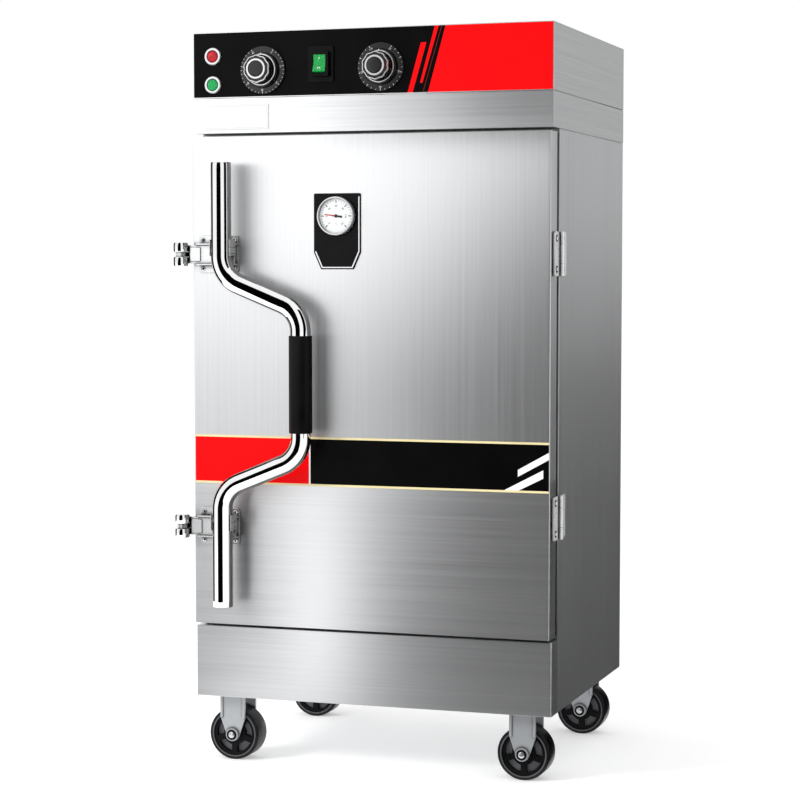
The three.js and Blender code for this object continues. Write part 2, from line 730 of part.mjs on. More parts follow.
function innerLiner() {
  const box = block(-LINER_HALF, LINER_HALF, BODY_FRONT, LINER_BACK, LINER_FLOOR, LINER_TOP);
  const face = block(-PAN_HALF, PAN_HALF, BODY_FRONT, CAVITY_FRONT,
    PLINTH_TOP, HEADER_BOTTOM - FIT_GAP);
  const cavity = block(-CAVITY_HALF, CAVITY_HALF, CAVITY_FRONT, CAVITY_BACK,
    SUMP_FLOOR, LINER_TOP - LINER_WALL);
  const doorway = block(-CAVITY_HALF, CAVITY_HALF, BODY_FRONT - OVERRUN, CAVITY_FRONT + OVERRUN,
    OPENING_BOTTOM, LINER_TOP - LINER_WALL);
  const vent = cylinderY(VENT_X, VENT_Z, VENT_RADIUS, CAVITY_BACK, CABINET_DEPTH + VENT_REACH);
  const ventBore = cylinderY(VENT_X, VENT_Z, VENT_RADIUS - VENT_WALL,
    CAVITY_BACK - OVERRUN, CABINET_DEPTH + VENT_REACH + OVERRUN);
  const drainHole = cylinderY(DRAIN_X, DRAIN_Z, DRAIN_RADIUS + FIT_GAP,
    CAVITY_BACK - OVERRUN, LINER_BACK + OVERRUN);
  return cut(join(box, face, vent), cavity, doorway, ventBore, drainHole);
}

function insulationJacket() {
  const outer = block(-JACKET_HALF, JACKET_HALF, JACKET_FRONT, JACKET_BACK,
    PAN_FLOOR + BASE_SHEET + FIT_GAP, HEADER_TOP - SKIN - FIT_GAP);
  const around = LINER_HALF + FIT_GAP;
  const recess = block(-around, around, JACKET_FRONT - OVERRUN, LINER_BACK + FIT_GAP,
    LINER_FLOOR - FIT_GAP, LINER_TOP + FIT_GAP);
  const back = [LINER_BACK - OVERRUN, JACKET_BACK + OVERRUN];
  return cut(outer, recess,
    cylinderY(VENT_X, VENT_Z, VENT_RADIUS + FIT_GAP, ...back),
    cylinderY(DRAIN_X, DRAIN_Z, DRAIN_RADIUS + FIT_GAP, ...back));
}

// Trays and racks

function railHeight(index) {
  return LOWEST_RAIL + index * TRAY_PITCH;
}

function trayRack(sideSign) {
  const wall = CAVITY_HALF - FIT_GAP;
  const postInset = (TRAY_REAR - TRAY_FRONT) / 4;
  const bottom = LOWEST_RAIL - RACK_END;
  const top = railHeight(TRAY_COUNT - 1) + TRAY_HEIGHT + RACK_END;
  const half = RACK_UPRIGHT_WIDTH / 2;
  const post = (y) => block(RACK_FACE, wall, y - half, y + half, bottom, top);
  const rails = [];
  for (let i = 0; i < TRAY_COUNT; i += 1) {
    const ledgeTop = railHeight(i) - FIT_GAP;
    const outer = RACK_FACE + WELD_OVERLAP;
    const angle = polygon([
      [outer - RAIL_LEDGE - RAIL_SHEET, ledgeTop - RAIL_SHEET],
      [outer, ledgeTop - RAIL_SHEET],
      [outer, ledgeTop + RAIL_LEG],
      [outer - RAIL_SHEET, ledgeTop + RAIL_LEG],
      [outer - RAIL_SHEET, ledgeTop],
      [outer - RAIL_LEDGE - RAIL_SHEET, ledgeTop],
    ]);
    rails.push(slabY(angle, TRAY_FRONT - RAIL_OVERHANG, TRAY_REAR + RAIL_OVERHANG));
  }
  const rack = join(post(TRAY_FRONT + postInset), post(TRAY_REAR - postInset), ...rails);
  return sideSign > 0 ? rack : rack.rotateZ(Math.PI).translate(0, TRAY_FRONT + TRAY_REAR, 0);
}

function steamingTray(index) {
  const floor = railHeight(index);
  const top = floor + TRAY_HEIGHT;
  const outline = (inset) => roundedRectangle(-TRAY_HALF + inset, TRAY_HALF - inset,
    TRAY_FRONT + inset, TRAY_REAR - inset, TRAY_CORNER_RADIUS - inset);
  const body = slabZ(outline(TRAY_RIM), floor, top);
  const rim = slabZ(outline(0), top - TRAY_RIM, top);
  const inside = slabZ(outline(TRAY_RIM + TRAY_SHEET), floor + TRAY_SHEET, top + OVERRUN);
  return cut(join(body, rim), inside);
}

// Sump fittings

function heatingElement() {
  const plateBack = CAVITY_BACK - FIT_GAP;
  const z = SUMP_FLOOR + HEATER_RAISE;
  const loopOffset = LINER_HALF - HEATER_LOOP_INSET;
  const rootY = plateBack - HEATER_PLATE + WELD_OVERLAP;
  const run = rootY - (CAVITY_FRONT + HEATER_FRONT_SPACE + HEATER_TUBE_RADIUS + HEATER_BEND_RADIUS);
  const plateHalf = loopOffset + HEATER_BEND_RADIUS + HEATER_PLATE_SIDE;
  const plate = block(-plateHalf, plateHalf, plateBack - HEATER_PLATE, plateBack,
    z - HEATER_PLATE_HEIGHT / 2, z + HEATER_PLATE_HEIGHT / 2);
  const hairpins = [-1, 1].map((sign) => {
    const start = new THREE.Vector3(sign * loopOffset - HEATER_BEND_RADIUS, rootY, z);
    const stations = stationsAlong(start, new THREE.Vector3(0, -1, 0), new THREE.Vector3(1, 0, 0), [
      { run },
      { turn: Math.PI, radius: HEATER_BEND_RADIUS, steps: 6 },
      { run },
    ]);
    return sweptTube(stations, HEATER_TUBE_RADIUS, 8);
  });
  return join(plate, ...hairpins);
}

function slottedBaffle() {
  const half = CAVITY_HALF - BAFFLE_SIDE_SPACE;
  const front = CAVITY_FRONT + BAFFLE_SIDE_SPACE;
  const rear = CAVITY_BACK - BAFFLE_REAR_SPACE;
  const bottom = SUMP_FLOOR + FIT_GAP;
  const outer = block(-half, half, front, rear, bottom, BAFFLE_TOP);
  const under = block(-half + BAFFLE_SHEET, half - BAFFLE_SHEET, front - OVERRUN, rear + OVERRUN,
    bottom - OVERRUN, BAFFLE_TOP - BAFFLE_SHEET);
  const slots = [];
  const firstX = -half + BAFFLE_SLOT_MARGIN;
  const firstY = front + BAFFLE_SLOT_MARGIN;
  const pitchX = (-2 * firstX - BAFFLE_SLOT_LENGTH) / (BAFFLE_COLUMNS - 1);
  const pitchY = (rear - BAFFLE_SLOT_MARGIN - BAFFLE_SLOT_WIDTH - firstY) / (BAFFLE_ROWS - 1);
  for (let row = 0; row < BAFFLE_ROWS; row += 1) {
    for (let column = 0; column < BAFFLE_COLUMNS; column += 1) {
      const x = firstX + column * pitchX;
      const y = firstY + row * pitchY;
      slots.push(block(x, x + BAFFLE_SLOT_LENGTH, y, y + BAFFLE_SLOT_WIDTH,
        BAFFLE_TOP - BAFFLE_SHEET - OVERRUN, BAFFLE_TOP + OVERRUN));
    }
  }
  return cut(outer, under, ...slots);
}

// Controls

function switchBodyOutline(gap) {
  const half = SWITCH_COLLAR_WIDTH / 2 + gap;
  const rise = SWITCH_COLLAR_HEIGHT / 2 + gap;
  return rectangle(SWITCH_X - half, SWITCH_X + half, SWITCH_Z - rise, SWITCH_Z + rise);
}

function controlGear() {
  const front = SKIN + FIT_GAP;
  const half = GEAR_BODY / 2;
  const bottom = KNOB_Z - GEAR_PLATE_HEIGHT / 2;
  const top = KNOB_Z + GEAR_PLATE_HEIGHT / 2;
  const plate = block(TIMER_X - half, THERMOSTAT_X + half, front, front + GEAR_PLATE, bottom, top);
  const bodies = [TIMER_X, THERMOSTAT_X].flatMap((x) => [
    block(x - half, x + half, front, front + GEAR_PLATE + GEAR_BODY_DEPTH, KNOB_Z - half, KNOB_Z + half),
    cylinderY(x, KNOB_Z, SHAFT_RADIUS, -SHAFT_REACH, front + GEAR_PLATE, 10),
  ]);
  const window = slabY(switchBodyOutline(FIT_GAP), front - OVERRUN, front + GEAR_PLATE + OVERRUN);
  return cut(join(plate, ...bodies), window);
}

function controlKnob(x) {
  const stepTop = SKIRT_THICKNESS + KNOB_STEP_HEIGHT;
  const gripTop = stepTop + KNOB_GRIP_HEIGHT;
  const capTop = gripTop + KNOB_CAP_HEIGHT;
  const base = turnedForward([
    [0, 0],
    [SKIRT_RADIUS, 0],
    [SKIRT_RADIUS, SKIRT_THICKNESS - SKIRT_BEVEL],
    [SKIRT_RADIUS - SKIRT_BEVEL, SKIRT_THICKNESS],
    [KNOB_STEP_RADIUS, SKIRT_THICKNESS],
    [KNOB_STEP_RADIUS - SKIRT_BEVEL, stepTop],
    [0, stepTop],
  ], 24);
  const grip = turnedForward([
    [0, SKIRT_THICKNESS],
    [KNOB_GRIP_RADIUS, SKIRT_THICKNESS],
    [KNOB_GRIP_RADIUS, gripTop - SKIRT_BEVEL],
    [KNOB_GRIP_RADIUS - SKIRT_BEVEL, gripTop],
    [0, gripTop],
  ], KNOB_GRIP_SIDES);
  const cap = turnedForward([
    [0, stepTop],
    [KNOB_CAP_RADIUS, stepTop],
    [KNOB_CAP_RADIUS, capTop - SKIRT_BEVEL],
    [KNOB_CAP_RADIUS - SKIRT_BEVEL, capTop],
    [0, capTop],
  ], 16);
  const bore = cylinderY(0, 0, boreFor(SHAFT_RADIUS, 10), -KNOB_BORE_DEPTH, OVERRUN, 10);
  return cut(join(base, grip, cap), bore).translate(x, -FIT_GAP, KNOB_Z);
}

function indicatorLamp(z) {
  const lensFoot = LAMP_BEZEL_HEIGHT;
  const profile = [
    [0, -LAMP_STEM_DEPTH],
    [LAMP_STEM_RADIUS, -LAMP_STEM_DEPTH],
    [LAMP_STEM_RADIUS, 0],
    [LAMP_BEZEL_RADIUS, 0],
    [LAMP_BEZEL_RADIUS, lensFoot - SKIRT_BEVEL],
    [LAMP_BEZEL_RADIUS - SKIRT_BEVEL, lensFoot],
    [LAMP_LENS_RADIUS, lensFoot],
  ];
  const domeSteps = 3;
  for (let i = 1; i < domeSteps; i += 1) {
    const angle = (i / domeSteps) * Math.PI / 2;
    profile.push([LAMP_LENS_RADIUS * Math.cos(angle), lensFoot + LAMP_LENS_HEIGHT * Math.sin(angle)]);
  }
  profile.push([0, lensFoot + LAMP_LENS_HEIGHT]);
  return turnedForward(profile, 12).translate(LAMP_X, -FIT_GAP, z);
}

function switchHousing() {
  const front = -FIT_GAP;
  const flange = slabY(
    roundedRectangle(SWITCH_X - SWITCH_WIDTH / 2, SWITCH_X + SWITCH_WIDTH / 2,
      SWITCH_Z - SWITCH_HEIGHT / 2, SWITCH_Z + SWITCH_HEIGHT / 2, SWITCH_CORNER_RADIUS),
    front - SWITCH_FLANGE, front);
  const body = slabY(switchBodyOutline(0), front - SWITCH_FLANGE - SWITCH_COLLAR_RISE,
    SWITCH_BODY_DEPTH);
  const half = ROCKER_WIDTH / 2 + ROCKER_GAP;
  const pocket = cylinderX(ROCKER_Y, SWITCH_Z, ROCKER_RADIUS + ROCKER_GAP,
    SWITCH_X - half, SWITCH_X + half, 24);
  const throat = block(SWITCH_X - half, SWITCH_X + half,
    front - SWITCH_FLANGE - SWITCH_COLLAR_RISE - OVERRUN, ROCKER_Y,
    SWITCH_Z - ROCKER_RADIUS - ROCKER_GAP, SWITCH_Z + ROCKER_RADIUS + ROCKER_GAP);
  return cut(join(flange, body), pocket, throat);
}

// The rocker at rest lies tilted, with its upper end pressed in
function switchRocker() {
  const profile = new THREE.Shape();
  const startAngle = Math.asin(ROCKER_END_RISE / ROCKER_RADIUS);
  profile.moveTo(-ROCKER_RADIUS * Math.sin(startAngle), ROCKER_RADIUS * Math.cos(startAngle));
  profile.lineTo(-ROCKER_CREST, 0);
  profile.lineTo(-ROCKER_RADIUS * Math.sin(startAngle), -ROCKER_RADIUS * Math.cos(startAngle));
  profile.absarc(0, 0, ROCKER_RADIUS, 1.5 * Math.PI - startAngle, 2.5 * Math.PI + startAngle, false);
  const solid = slabX(profile, -ROCKER_WIDTH / 2, ROCKER_WIDTH / 2, 8);
  return solid.rotateX(radians(-ROCKER_TILT)).translate(SWITCH_X, ROCKER_Y, SWITCH_Z);
}

// Door

function doorShape(inset) {
  return rectangle(-DOOR_SIDE + inset, DOOR_SIDE - inset, DOOR_BOTTOM + inset, DOOR_TOP - inset);
}

function doorOuterPanel() {
  const plan = new THREE.Shape();
  const centre = DOOR_SIDE - DOOR_CORNER_RADIUS;
  const faceCentre = DOOR_FACE + DOOR_CORNER_RADIUS;
  plan.moveTo(-DOOR_SIDE, DOOR_BACK);
  plan.lineTo(-DOOR_SIDE, faceCentre);
  plan.absarc(-centre, faceCentre, DOOR_CORNER_RADIUS, Math.PI, 1.5 * Math.PI, false);
  plan.lineTo(centre, DOOR_FACE);
  plan.absarc(centre, faceCentre, DOOR_CORNER_RADIUS, 1.5 * Math.PI, 2 * Math.PI, false);
  plan.lineTo(DOOR_SIDE, DOOR_BACK);
  plan.closePath();
  const outer = slabZ(plan, DOOR_BOTTOM, DOOR_TOP);
  const hollow = slabY(doorShape(SKIN), DOOR_FACE + SKIN, DOOR_BACK - SKIN);
  const mouth = slabY(doorShape(DOOR_RETURN), DOOR_BACK - SKIN - OVERRUN, DOOR_BACK + OVERRUN);
  const stemHole = cylinderY(GAUGE_X, GAUGE_Z, boreFor(GAUGE_STEM_RADIUS),
    DOOR_FACE - OVERRUN, DOOR_FACE + SKIN + OVERRUN);
  return cut(outer, hollow, mouth, stemHole);
}

// The inner panel lies on the returns of the outer one and bulges into the doorway
function doorInnerPanel() {
  const back = DOOR_BACK + FIT_GAP;
  const plateInset = DOOR_RETURN / 2;
  const plate = slabY(doorShape(plateInset), back, back + SKIN);
  const plug = doorPlug(0, back);
  const hollow = doorPlug(SKIN, back - OVERRUN);
  const stemHole = cylinderY(GAUGE_X, GAUGE_Z, boreFor(GAUGE_STEM_RADIUS),
    back - OVERRUN, back + DOOR_PLUG_PROUD + OVERRUN);
  return cut(join(plate, plug), hollow, stemHole);
}

// A raised panel with sloping edges
function doorPlug(inset, front) {
  const back = DOOR_BACK + FIT_GAP + SKIN + DOOR_PLUG_PROUD - inset;
  const side = DOOR_SIDE - DOOR_PLUG_SIDE - inset;
  const profile = (half) => polygon([
    [-half, front],
    [half, front],
    [half, back - DOOR_PLUG_SLOPE],
    [half - DOOR_PLUG_SLOPE, back],
    [-half + DOOR_PLUG_SLOPE, back],
    [-half, back - DOOR_PLUG_SLOPE],
  ]);
  const acrossWidth = slabZ(profile(side), DOOR_BOTTOM, DOOR_TOP);
  const tall = DOOR_HEIGHT / 2 - DOOR_PLUG_SIDE - inset;
  const acrossHeight = slabX(profileAlongHeight(tall, front, back), -HALF_WIDTH, HALF_WIDTH)
    .translate(0, 0, DOOR_MIDDLE);
  return common(acrossWidth, acrossHeight);
}

function profileAlongHeight(half, front, back) {
  return polygon([
    [front, -half],
    [back - DOOR_PLUG_SLOPE, -half],
    [back, -half + DOOR_PLUG_SLOPE],
    [back, half - DOOR_PLUG_SLOPE],
    [back - DOOR_PLUG_SLOPE, half],
    [front, half],
  ]);
}

function doorInsulation() {
  const front = DOOR_FACE + SKIN + FIT_GAP;
  const slab = slabY(doorShape(SKIN + FIT_GAP), front, DOOR_BACK - SKIN - FIT_GAP);
  const stemHole = cylinderY(GAUGE_X, GAUGE_Z, boreFor(GAUGE_STEM_RADIUS),
    front - OVERRUN, DOOR_BACK + OVERRUN);
  return cut(slab, stemHole);
}

// A loop with a flat foot on the door and a narrower bulb towards the body
function doorGasket() {
  const foot = DOOR_BACK + FIT_GAP + SKIN + FIT_GAP;
  const tip = BODY_FRONT - FIT_GAP;
  const outline = (inset) => roundedRectangle(-DOOR_SIDE + inset, DOOR_SIDE - inset,
    DOOR_BOTTOM + inset, DOOR_TOP - inset, GASKET_CORNER_RADIUS, 3);
  const ring = (inset, width, y0, y1) => {
    const shape = outline(inset);
    shape.holes.push(outline(inset + width));
    return slabY(shape, y0, y1);
  };
  const middle = (foot + tip) / 2;
  return join(
    ring(GASKET_INSET, GASKET_WIDTH, foot, middle),
    ring(GASKET_INSET + GASKET_LIP, GASKET_WIDTH - 2 * GASKET_LIP, middle - WELD_OVERLAP, tip));
}

// Hinges

function hingeLevels() {
  return [DOOR_MIDDLE + HINGE_SPREAD, DOOR_MIDDLE - HINGE_SPREAD];
}

function hingeKnuckle(z0, z1) {
  return cylinderZ(HINGE_X, HINGE_Y, HINGE_BARREL_RADIUS, z0, z1);
}

function hingeLeaf(y0, y1, z) {
  const half = HINGE_HEIGHT / 2;
  const x0 = HALF_WIDTH + FIT_GAP;
  return slabX(roundedRectangle(y0, y1, z - half, z + half, HINGE_LEAF_CORNER), x0, x0 + HINGE_SHEET);
}

function clearKnuckles(z0, z1) {
  return cylinderZ(HINGE_X, HINGE_Y, HINGE_BARREL_RADIUS + HINGE_KNUCKLE_GAP, z0, z1);
}

// The door leaf carries the middle knuckle, bored for the pin
function hingeDoorLeaf(z) {
  const half = HINGE_MIDDLE_KNUCKLE / 2 - HINGE_KNUCKLE_GAP;
  const leaf = hingeLeaf(HINGE_Y - HINGE_LEAF_REACH, HINGE_Y, z);
  const packer = slabX(rectangle(HINGE_Y - HINGE_LEAF_REACH + HINGE_LEAF_CORNER, DOOR_BACK,
    z - HINGE_HEIGHT / 2 + HINGE_LEAF_CORNER, z + HINGE_HEIGHT / 2 - HINGE_LEAF_CORNER),
    DOOR_SIDE + FIT_GAP, HALF_WIDTH + FIT_GAP + WELD_OVERLAP);
  const knuckle = hingeKnuckle(z - half, z + half);
  const above = z + HINGE_MIDDLE_KNUCKLE / 2 - HINGE_KNUCKLE_GAP;
  const below = z - HINGE_MIDDLE_KNUCKLE / 2 + HINGE_KNUCKLE_GAP;
  const reach = HINGE_HEIGHT / 2 + OVERRUN;
  const cleared = cut(join(leaf, packer),
    clearKnuckles(above, z + reach), clearKnuckles(z - reach, below));
  const bore = cylinderZ(HINGE_X, HINGE_Y, boreFor(HINGE_PIN_RADIUS), z - reach, z + reach);
  return cut(join(cleared, knuckle), bore);
}

// The frame leaf carries the outer knuckles and the riveted pin
function hingeFrameLeaf(z) {
  const half = HINGE_HEIGHT / 2;
  const middle = HINGE_MIDDLE_KNUCKLE / 2;
  const leaf = cut(hingeLeaf(HINGE_Y, HINGE_Y + HINGE_LEAF_REACH + HINGE_Y - DOOR_BACK, z),
    clearKnuckles(z - middle, z + middle));
  return join(leaf,
    hingeKnuckle(z + middle, z + half),
    hingeKnuckle(z - half, z - middle),
    cylinderZ(HINGE_X, HINGE_Y, HINGE_PIN_RADIUS, z - half, z + half));
}

// Handle and latches

function latchLevels() {
  return [DOOR_MIDDLE + UPPER_LATCH_RISE, DOOR_MIDDLE - LOWER_LATCH_DROP];
}

// Straight run between two opposite bends of the crank, and the height the pair takes up
function crankSizes() {
  const angle = radians(HANDLE_BEND_ANGLE);
  const run = (HANDLE_CRANK - 2 * HANDLE_BEND_RADIUS * (1 - Math.cos(angle))) / Math.sin(angle);
  const rise = 2 * HANDLE_BEND_RADIUS * Math.sin(angle) + run * Math.cos(angle);
  return { angle, run, rise };
}

function handleStations() {
  const { angle, run, rise } = crankSizes();
  const bottom = DOOR_MIDDLE - HANDLE_BELOW_MIDDLE;
  const lowerRun = HANDLE_BELOW_MIDDLE - HANDLE_GRIP_RUN / 2 - rise;
  const upperRun = HANDLE_ABOVE_MIDDLE - HANDLE_GRIP_RUN / 2 - rise;
  const bend = (sign) => ({ turn: sign * angle, radius: HANDLE_BEND_RADIUS, steps: 5 });
  const start = new THREE.Vector3(HANDLE_X, HANDLE_Y, bottom);
  return stationsAlong(start, new THREE.Vector3(0, 0, 1), new THREE.Vector3(1, 0, 0), [
    { run: lowerRun }, bend(1), { run }, bend(-1),
    { run: HANDLE_GRIP_RUN },
    bend(-1), { run }, bend(1), { run: upperRun },
  ]);
}

// A radial finger behind the tube, which drives one tongue
function latchFinger(z) {
  const z0 = z + FINGER_RISE - FINGER_HEIGHT / 2;
  const neck = Math.acos(FINGER_NECK / 2 / FINGER_RADIUS);
  const shape = new THREE.Shape();
  shape.moveTo(FINGER_NECK / 2, TUBE_RADIUS / 2);
  shape.absarc(0, FINGER_REACH, FINGER_RADIUS, -neck, Math.PI + neck, false);
  shape.lineTo(-FINGER_NECK / 2, TUBE_RADIUS / 2);
  shape.closePath();
  return slabZ(shape, 0, FINGER_HEIGHT, 5).rotateZ(FINGER_REST_ANGLE).translate(HANDLE_X, HANDLE_Y, z0);
}

function handleTube() {
  const stations = handleStations();
  const bar = sweptTube(stations, TUBE_RADIUS, TUBE_SIDES);
  return join(bar, ...latchLevels().map(latchFinger));
}

function gripSleeve() {
  const inner = boreFor(TUBE_RADIUS, TUBE_SIDES);
  const half = GRIP_LENGTH / 2;
  const profile = [
    [inner, -half],
    [GRIP_RADIUS - GRIP_END_ROUND, -half],
    [GRIP_RADIUS, -half + GRIP_END_ROUND],
    [GRIP_RADIUS, half - GRIP_END_ROUND],
    [GRIP_RADIUS - GRIP_END_ROUND, half],
    [inner, half],
    [inner, -half],
  ];
  return turned(profile, TUBE_SIDES).translate(HANDLE_X + HANDLE_CRANK, HANDLE_Y, DOOR_MIDDLE);
}

// Base plate, two webs that guide the tongue, a bridge over it and a bearing for the tube
function latchBracket(z) {
  const plateFront = DOOR_FACE - FIT_GAP - BRACKET_SHEET;
  const left = -HALF_WIDTH + BRACKET_EDGE_INSET;
  const right = left + BRACKET_WIDTH;
  const half = BRACKET_HEIGHT / 2;
  const plate = slabY(roundedRectangle(left, right, z - half, z + half, BRACKET_CORNER),
    plateFront, DOOR_FACE - FIT_GAP);
  const bridgeBack = TONGUE_FRONT - FIT_GAP;
  const bridgeFront = bridgeBack - BRACKET_SHEET;
  const webInner = TONGUE_HEIGHT / 2 + FIT_GAP;
  const webOuter = webInner + BRACKET_SHEET;
  const web = (sign) => block(left, right, bridgeFront, plateFront + WELD_OVERLAP,
    z + Math.min(sign * webInner, sign * webOuter), z + Math.max(sign * webInner, sign * webOuter));
  const bridge = block(right - BRIDGE_LENGTH, right, bridgeFront, bridgeBack,
    z - webOuter, z + webOuter);
  const bearingMiddle = z + BEARING_RISE;
  const bearingBottom = bearingMiddle - BEARING_HEIGHT / 2;
  const bearingTop = bearingMiddle + BEARING_HEIGHT / 2;
  const bore = boreFor(TUBE_RADIUS, BEARING_SIDES);
  const ring = cylinderZ(HANDLE_X, HANDLE_Y, bore + BEARING_WALL, bearingBottom, bearingTop,
    BEARING_SIDES);
  const foot = block(HANDLE_X - BEARING_FOOT_WIDTH / 2, HANDLE_X + BEARING_FOOT_WIDTH / 2,
    HANDLE_Y + TUBE_RADIUS / 2, bridgeBack, bearingBottom, bearingTop);
  const tubeBore = cylinderZ(HANDLE_X, HANDLE_Y, bore, bearingBottom - OVERRUN, bearingTop + OVERRUN,
    BEARING_SIDES);
  const sweep = TONGUE_TRAVEL / 2 + FINGER_RADIUS + 2 * FIT_GAP;
  const slotHalf = FINGER_SLOT_HEIGHT / 2;
  const slot = block(HANDLE_X - sweep, HANDLE_X + sweep, HANDLE_Y, bridgeBack + OVERRUN / 2,
    z + FINGER_RISE - slotHalf, z + FINGER_RISE + slotHalf);
  const frame = join(plate, web(1), web(-1), bridge, ring, foot);
  return cut(frame, tubeBore, slot);
}

// The tongue's nose is a ramp that lies behind the rollers, slit for the keeper's arm
function latchTongue(z) {
  const fingerX = HANDLE_X - FINGER_REACH * Math.sin(FINGER_REST_ANGLE);
  const windowHalf = FINGER_RADIUS + FIT_GAP;
  const right = fingerX + windowHalf + TONGUE_END_WALL;
  const tipFront = TONGUE_BACK - TONGUE_TIP;
  const plan = polygon([
    [TONGUE_TIP_X, TONGUE_BACK],
    [TONGUE_TIP_X, tipFront],
    [TONGUE_TIP_X + RAMP_RUN, TONGUE_FRONT],
    [right, TONGUE_FRONT],
    [right, TONGUE_BACK],
  ]);
  const half = TONGUE_HEIGHT / 2;
  const bar = slabZ(plan, z - half, z + half);
  const armHalf = KEEPER_ARM / 2 + 2 * FIT_GAP;
  const slitEnd = ROLLER_X + ROLLER_NECK_RADIUS + KEEPER_EYE_WALL + OVERRUN;
  const slit = block(TONGUE_TIP_X - OVERRUN, slitEnd, TONGUE_FRONT - OVERRUN, TONGUE_BACK + OVERRUN,
    z - armHalf, z + armHalf);
  const slotHalf = FINGER_SLOT_HEIGHT / 2;
  const window = block(fingerX - windowHalf, fingerX + windowHalf,
    TONGUE_FRONT - OVERRUN, TONGUE_BACK + OVERRUN,
    z + FINGER_RISE - slotHalf, z + FINGER_RISE + slotHalf);
  return cut(bar, slit, window);
}

// A foot on the cabinet's side and an arm that reaches forward to the rollers
function latchKeeper(z) {
  const footFront = BODY_FRONT + KEEPER_FOOT_START;
  const footRear = footFront + KEEPER_FOOT_LENGTH;
  const outer = -HALF_WIDTH - FIT_GAP;
  const half = KEEPER_FOOT_HEIGHT / 2;
  const foot = slabX(roundedRectangle(footFront, footRear, z - half, z + half, KEEPER_CORNER),
    outer - KEEPER_SHEET, outer);
  const eye = ROLLER_NECK_RADIUS + KEEPER_EYE_WALL;
  const armInner = Math.min(ROLLER_X + eye, outer - KEEPER_SHEET + WELD_OVERLAP);
  const plan = new THREE.Shape();
  plan.moveTo(armInner, ROLLER_Y);
  plan.lineTo(outer - KEEPER_SHEET + WELD_OVERLAP, footFront);
  plan.lineTo(outer - KEEPER_SHEET + WELD_OVERLAP, footRear - KEEPER_CORNER);
  plan.lineTo(outer - KEEPER_SHEET - KEEPER_CORNER, footRear - KEEPER_CORNER);
  plan.lineTo(ROLLER_X - eye, footFront);
  plan.lineTo(ROLLER_X - eye, ROLLER_Y);
  plan.absarc(ROLLER_X, ROLLER_Y, eye, Math.PI, 2 * Math.PI, false);
  plan.closePath();
  const arm = slabZ(plan, z - KEEPER_ARM / 2, z + KEEPER_ARM / 2, 4);
  const bore = cylinderZ(ROLLER_X, ROLLER_Y, boreFor(ROLLER_NECK_RADIUS),
    z - KEEPER_ARM, z + KEEPER_ARM);
  return cut(join(foot, arm), bore);
}

// Two lobes on one pin, above and below the keeper's arm
function keeperRoller(z) {
  const half = ROLLER_HEIGHT / 2;
  const slot = ROLLER_SLOT / 2;
  const round = ROLLER_ROUND;
  const profile = [
    [0, -half],
    [ROLLER_RADIUS - round, -half],
    [ROLLER_RADIUS, -half + round],
    [ROLLER_RADIUS, -slot],
    [ROLLER_NECK_RADIUS, -slot],
    [ROLLER_NECK_RADIUS, slot],
    [ROLLER_RADIUS, slot],
    [ROLLER_RADIUS, half - round],
    [ROLLER_RADIUS - round, half],
    [0, half],
  ];
  return turned(profile, 16).translate(ROLLER_X, ROLLER_Y, z);
}

// Thermometer

function gaugePlate() {
  const half = GAUGE_PLATE_WIDTH / 2;
  const top = GAUGE_Z + GAUGE_PLATE_ABOVE;
  const bottom = GAUGE_Z - GAUGE_PLATE_BELOW;
  const radius = GAUGE_CORNER_RADIUS;
  const shape = new THREE.Shape();
  shape.moveTo(GAUGE_X - half + GAUGE_CHAMFER_X, bottom);
  shape.lineTo(GAUGE_X + half - GAUGE_CHAMFER_X, bottom);
  shape.lineTo(GAUGE_X + half, bottom + GAUGE_CHAMFER_Z);
  shape.lineTo(GAUGE_X + half, top - radius);
  shape.absarc(GAUGE_X + half - radius, top - radius, radius, 0, Math.PI / 2, false);
  shape.lineTo(GAUGE_X - half + radius, top);
  shape.absarc(GAUGE_X - half + radius, top - radius, radius, Math.PI / 2, Math.PI, false);
  shape.lineTo(GAUGE_X - half, bottom + GAUGE_CHAMFER_Z);
  shape.closePath();
  const front = DOOR_FACE - FIT_GAP - GAUGE_PLATE_SHEET;
  const stemHole = cylinderY(GAUGE_X, GAUGE_Z, boreFor(GAUGE_STEM_RADIUS),
    front - OVERRUN, DOOR_FACE + OVERRUN);
  return cut(slabY(shape, front, DOOR_FACE - FIT_GAP), stemHole);
}

function gaugeCase() {
  const well = GAUGE_RADIUS - GAUGE_RIM;
  const profile = [
    [0, -GAUGE_STEM_LENGTH],
    [GAUGE_STEM_RADIUS - GAUGE_RIM_ROUND, -GAUGE_STEM_LENGTH],
    [GAUGE_STEM_RADIUS, GAUGE_RIM_ROUND - GAUGE_STEM_LENGTH],
    [GAUGE_STEM_RADIUS, 0],
    [GAUGE_RADIUS, 0],
    [GAUGE_RADIUS, GAUGE_DEPTH - GAUGE_RIM_ROUND],
    [GAUGE_RADIUS - GAUGE_RIM_ROUND, GAUGE_DEPTH],
    [well, GAUGE_DEPTH],
    [well, GAUGE_DEPTH - GAUGE_DIAL_DEPTH],
    [0, GAUGE_DEPTH - GAUGE_DIAL_DEPTH],
  ];
  return turnedForward(profile, 24).translate(GAUGE_X, GAUGE_BACK, GAUGE_Z);
}

function gaugeLens() {
  const front = GAUGE_DEPTH - GAUGE_LENS_DEPTH;
  return cylinderY(GAUGE_X, GAUGE_Z, GAUGE_RADIUS - GAUGE_RIM - FIT_GAP,
    GAUGE_BACK - front, GAUGE_BACK - front + GAUGE_LENS_SHEET, 24);
}

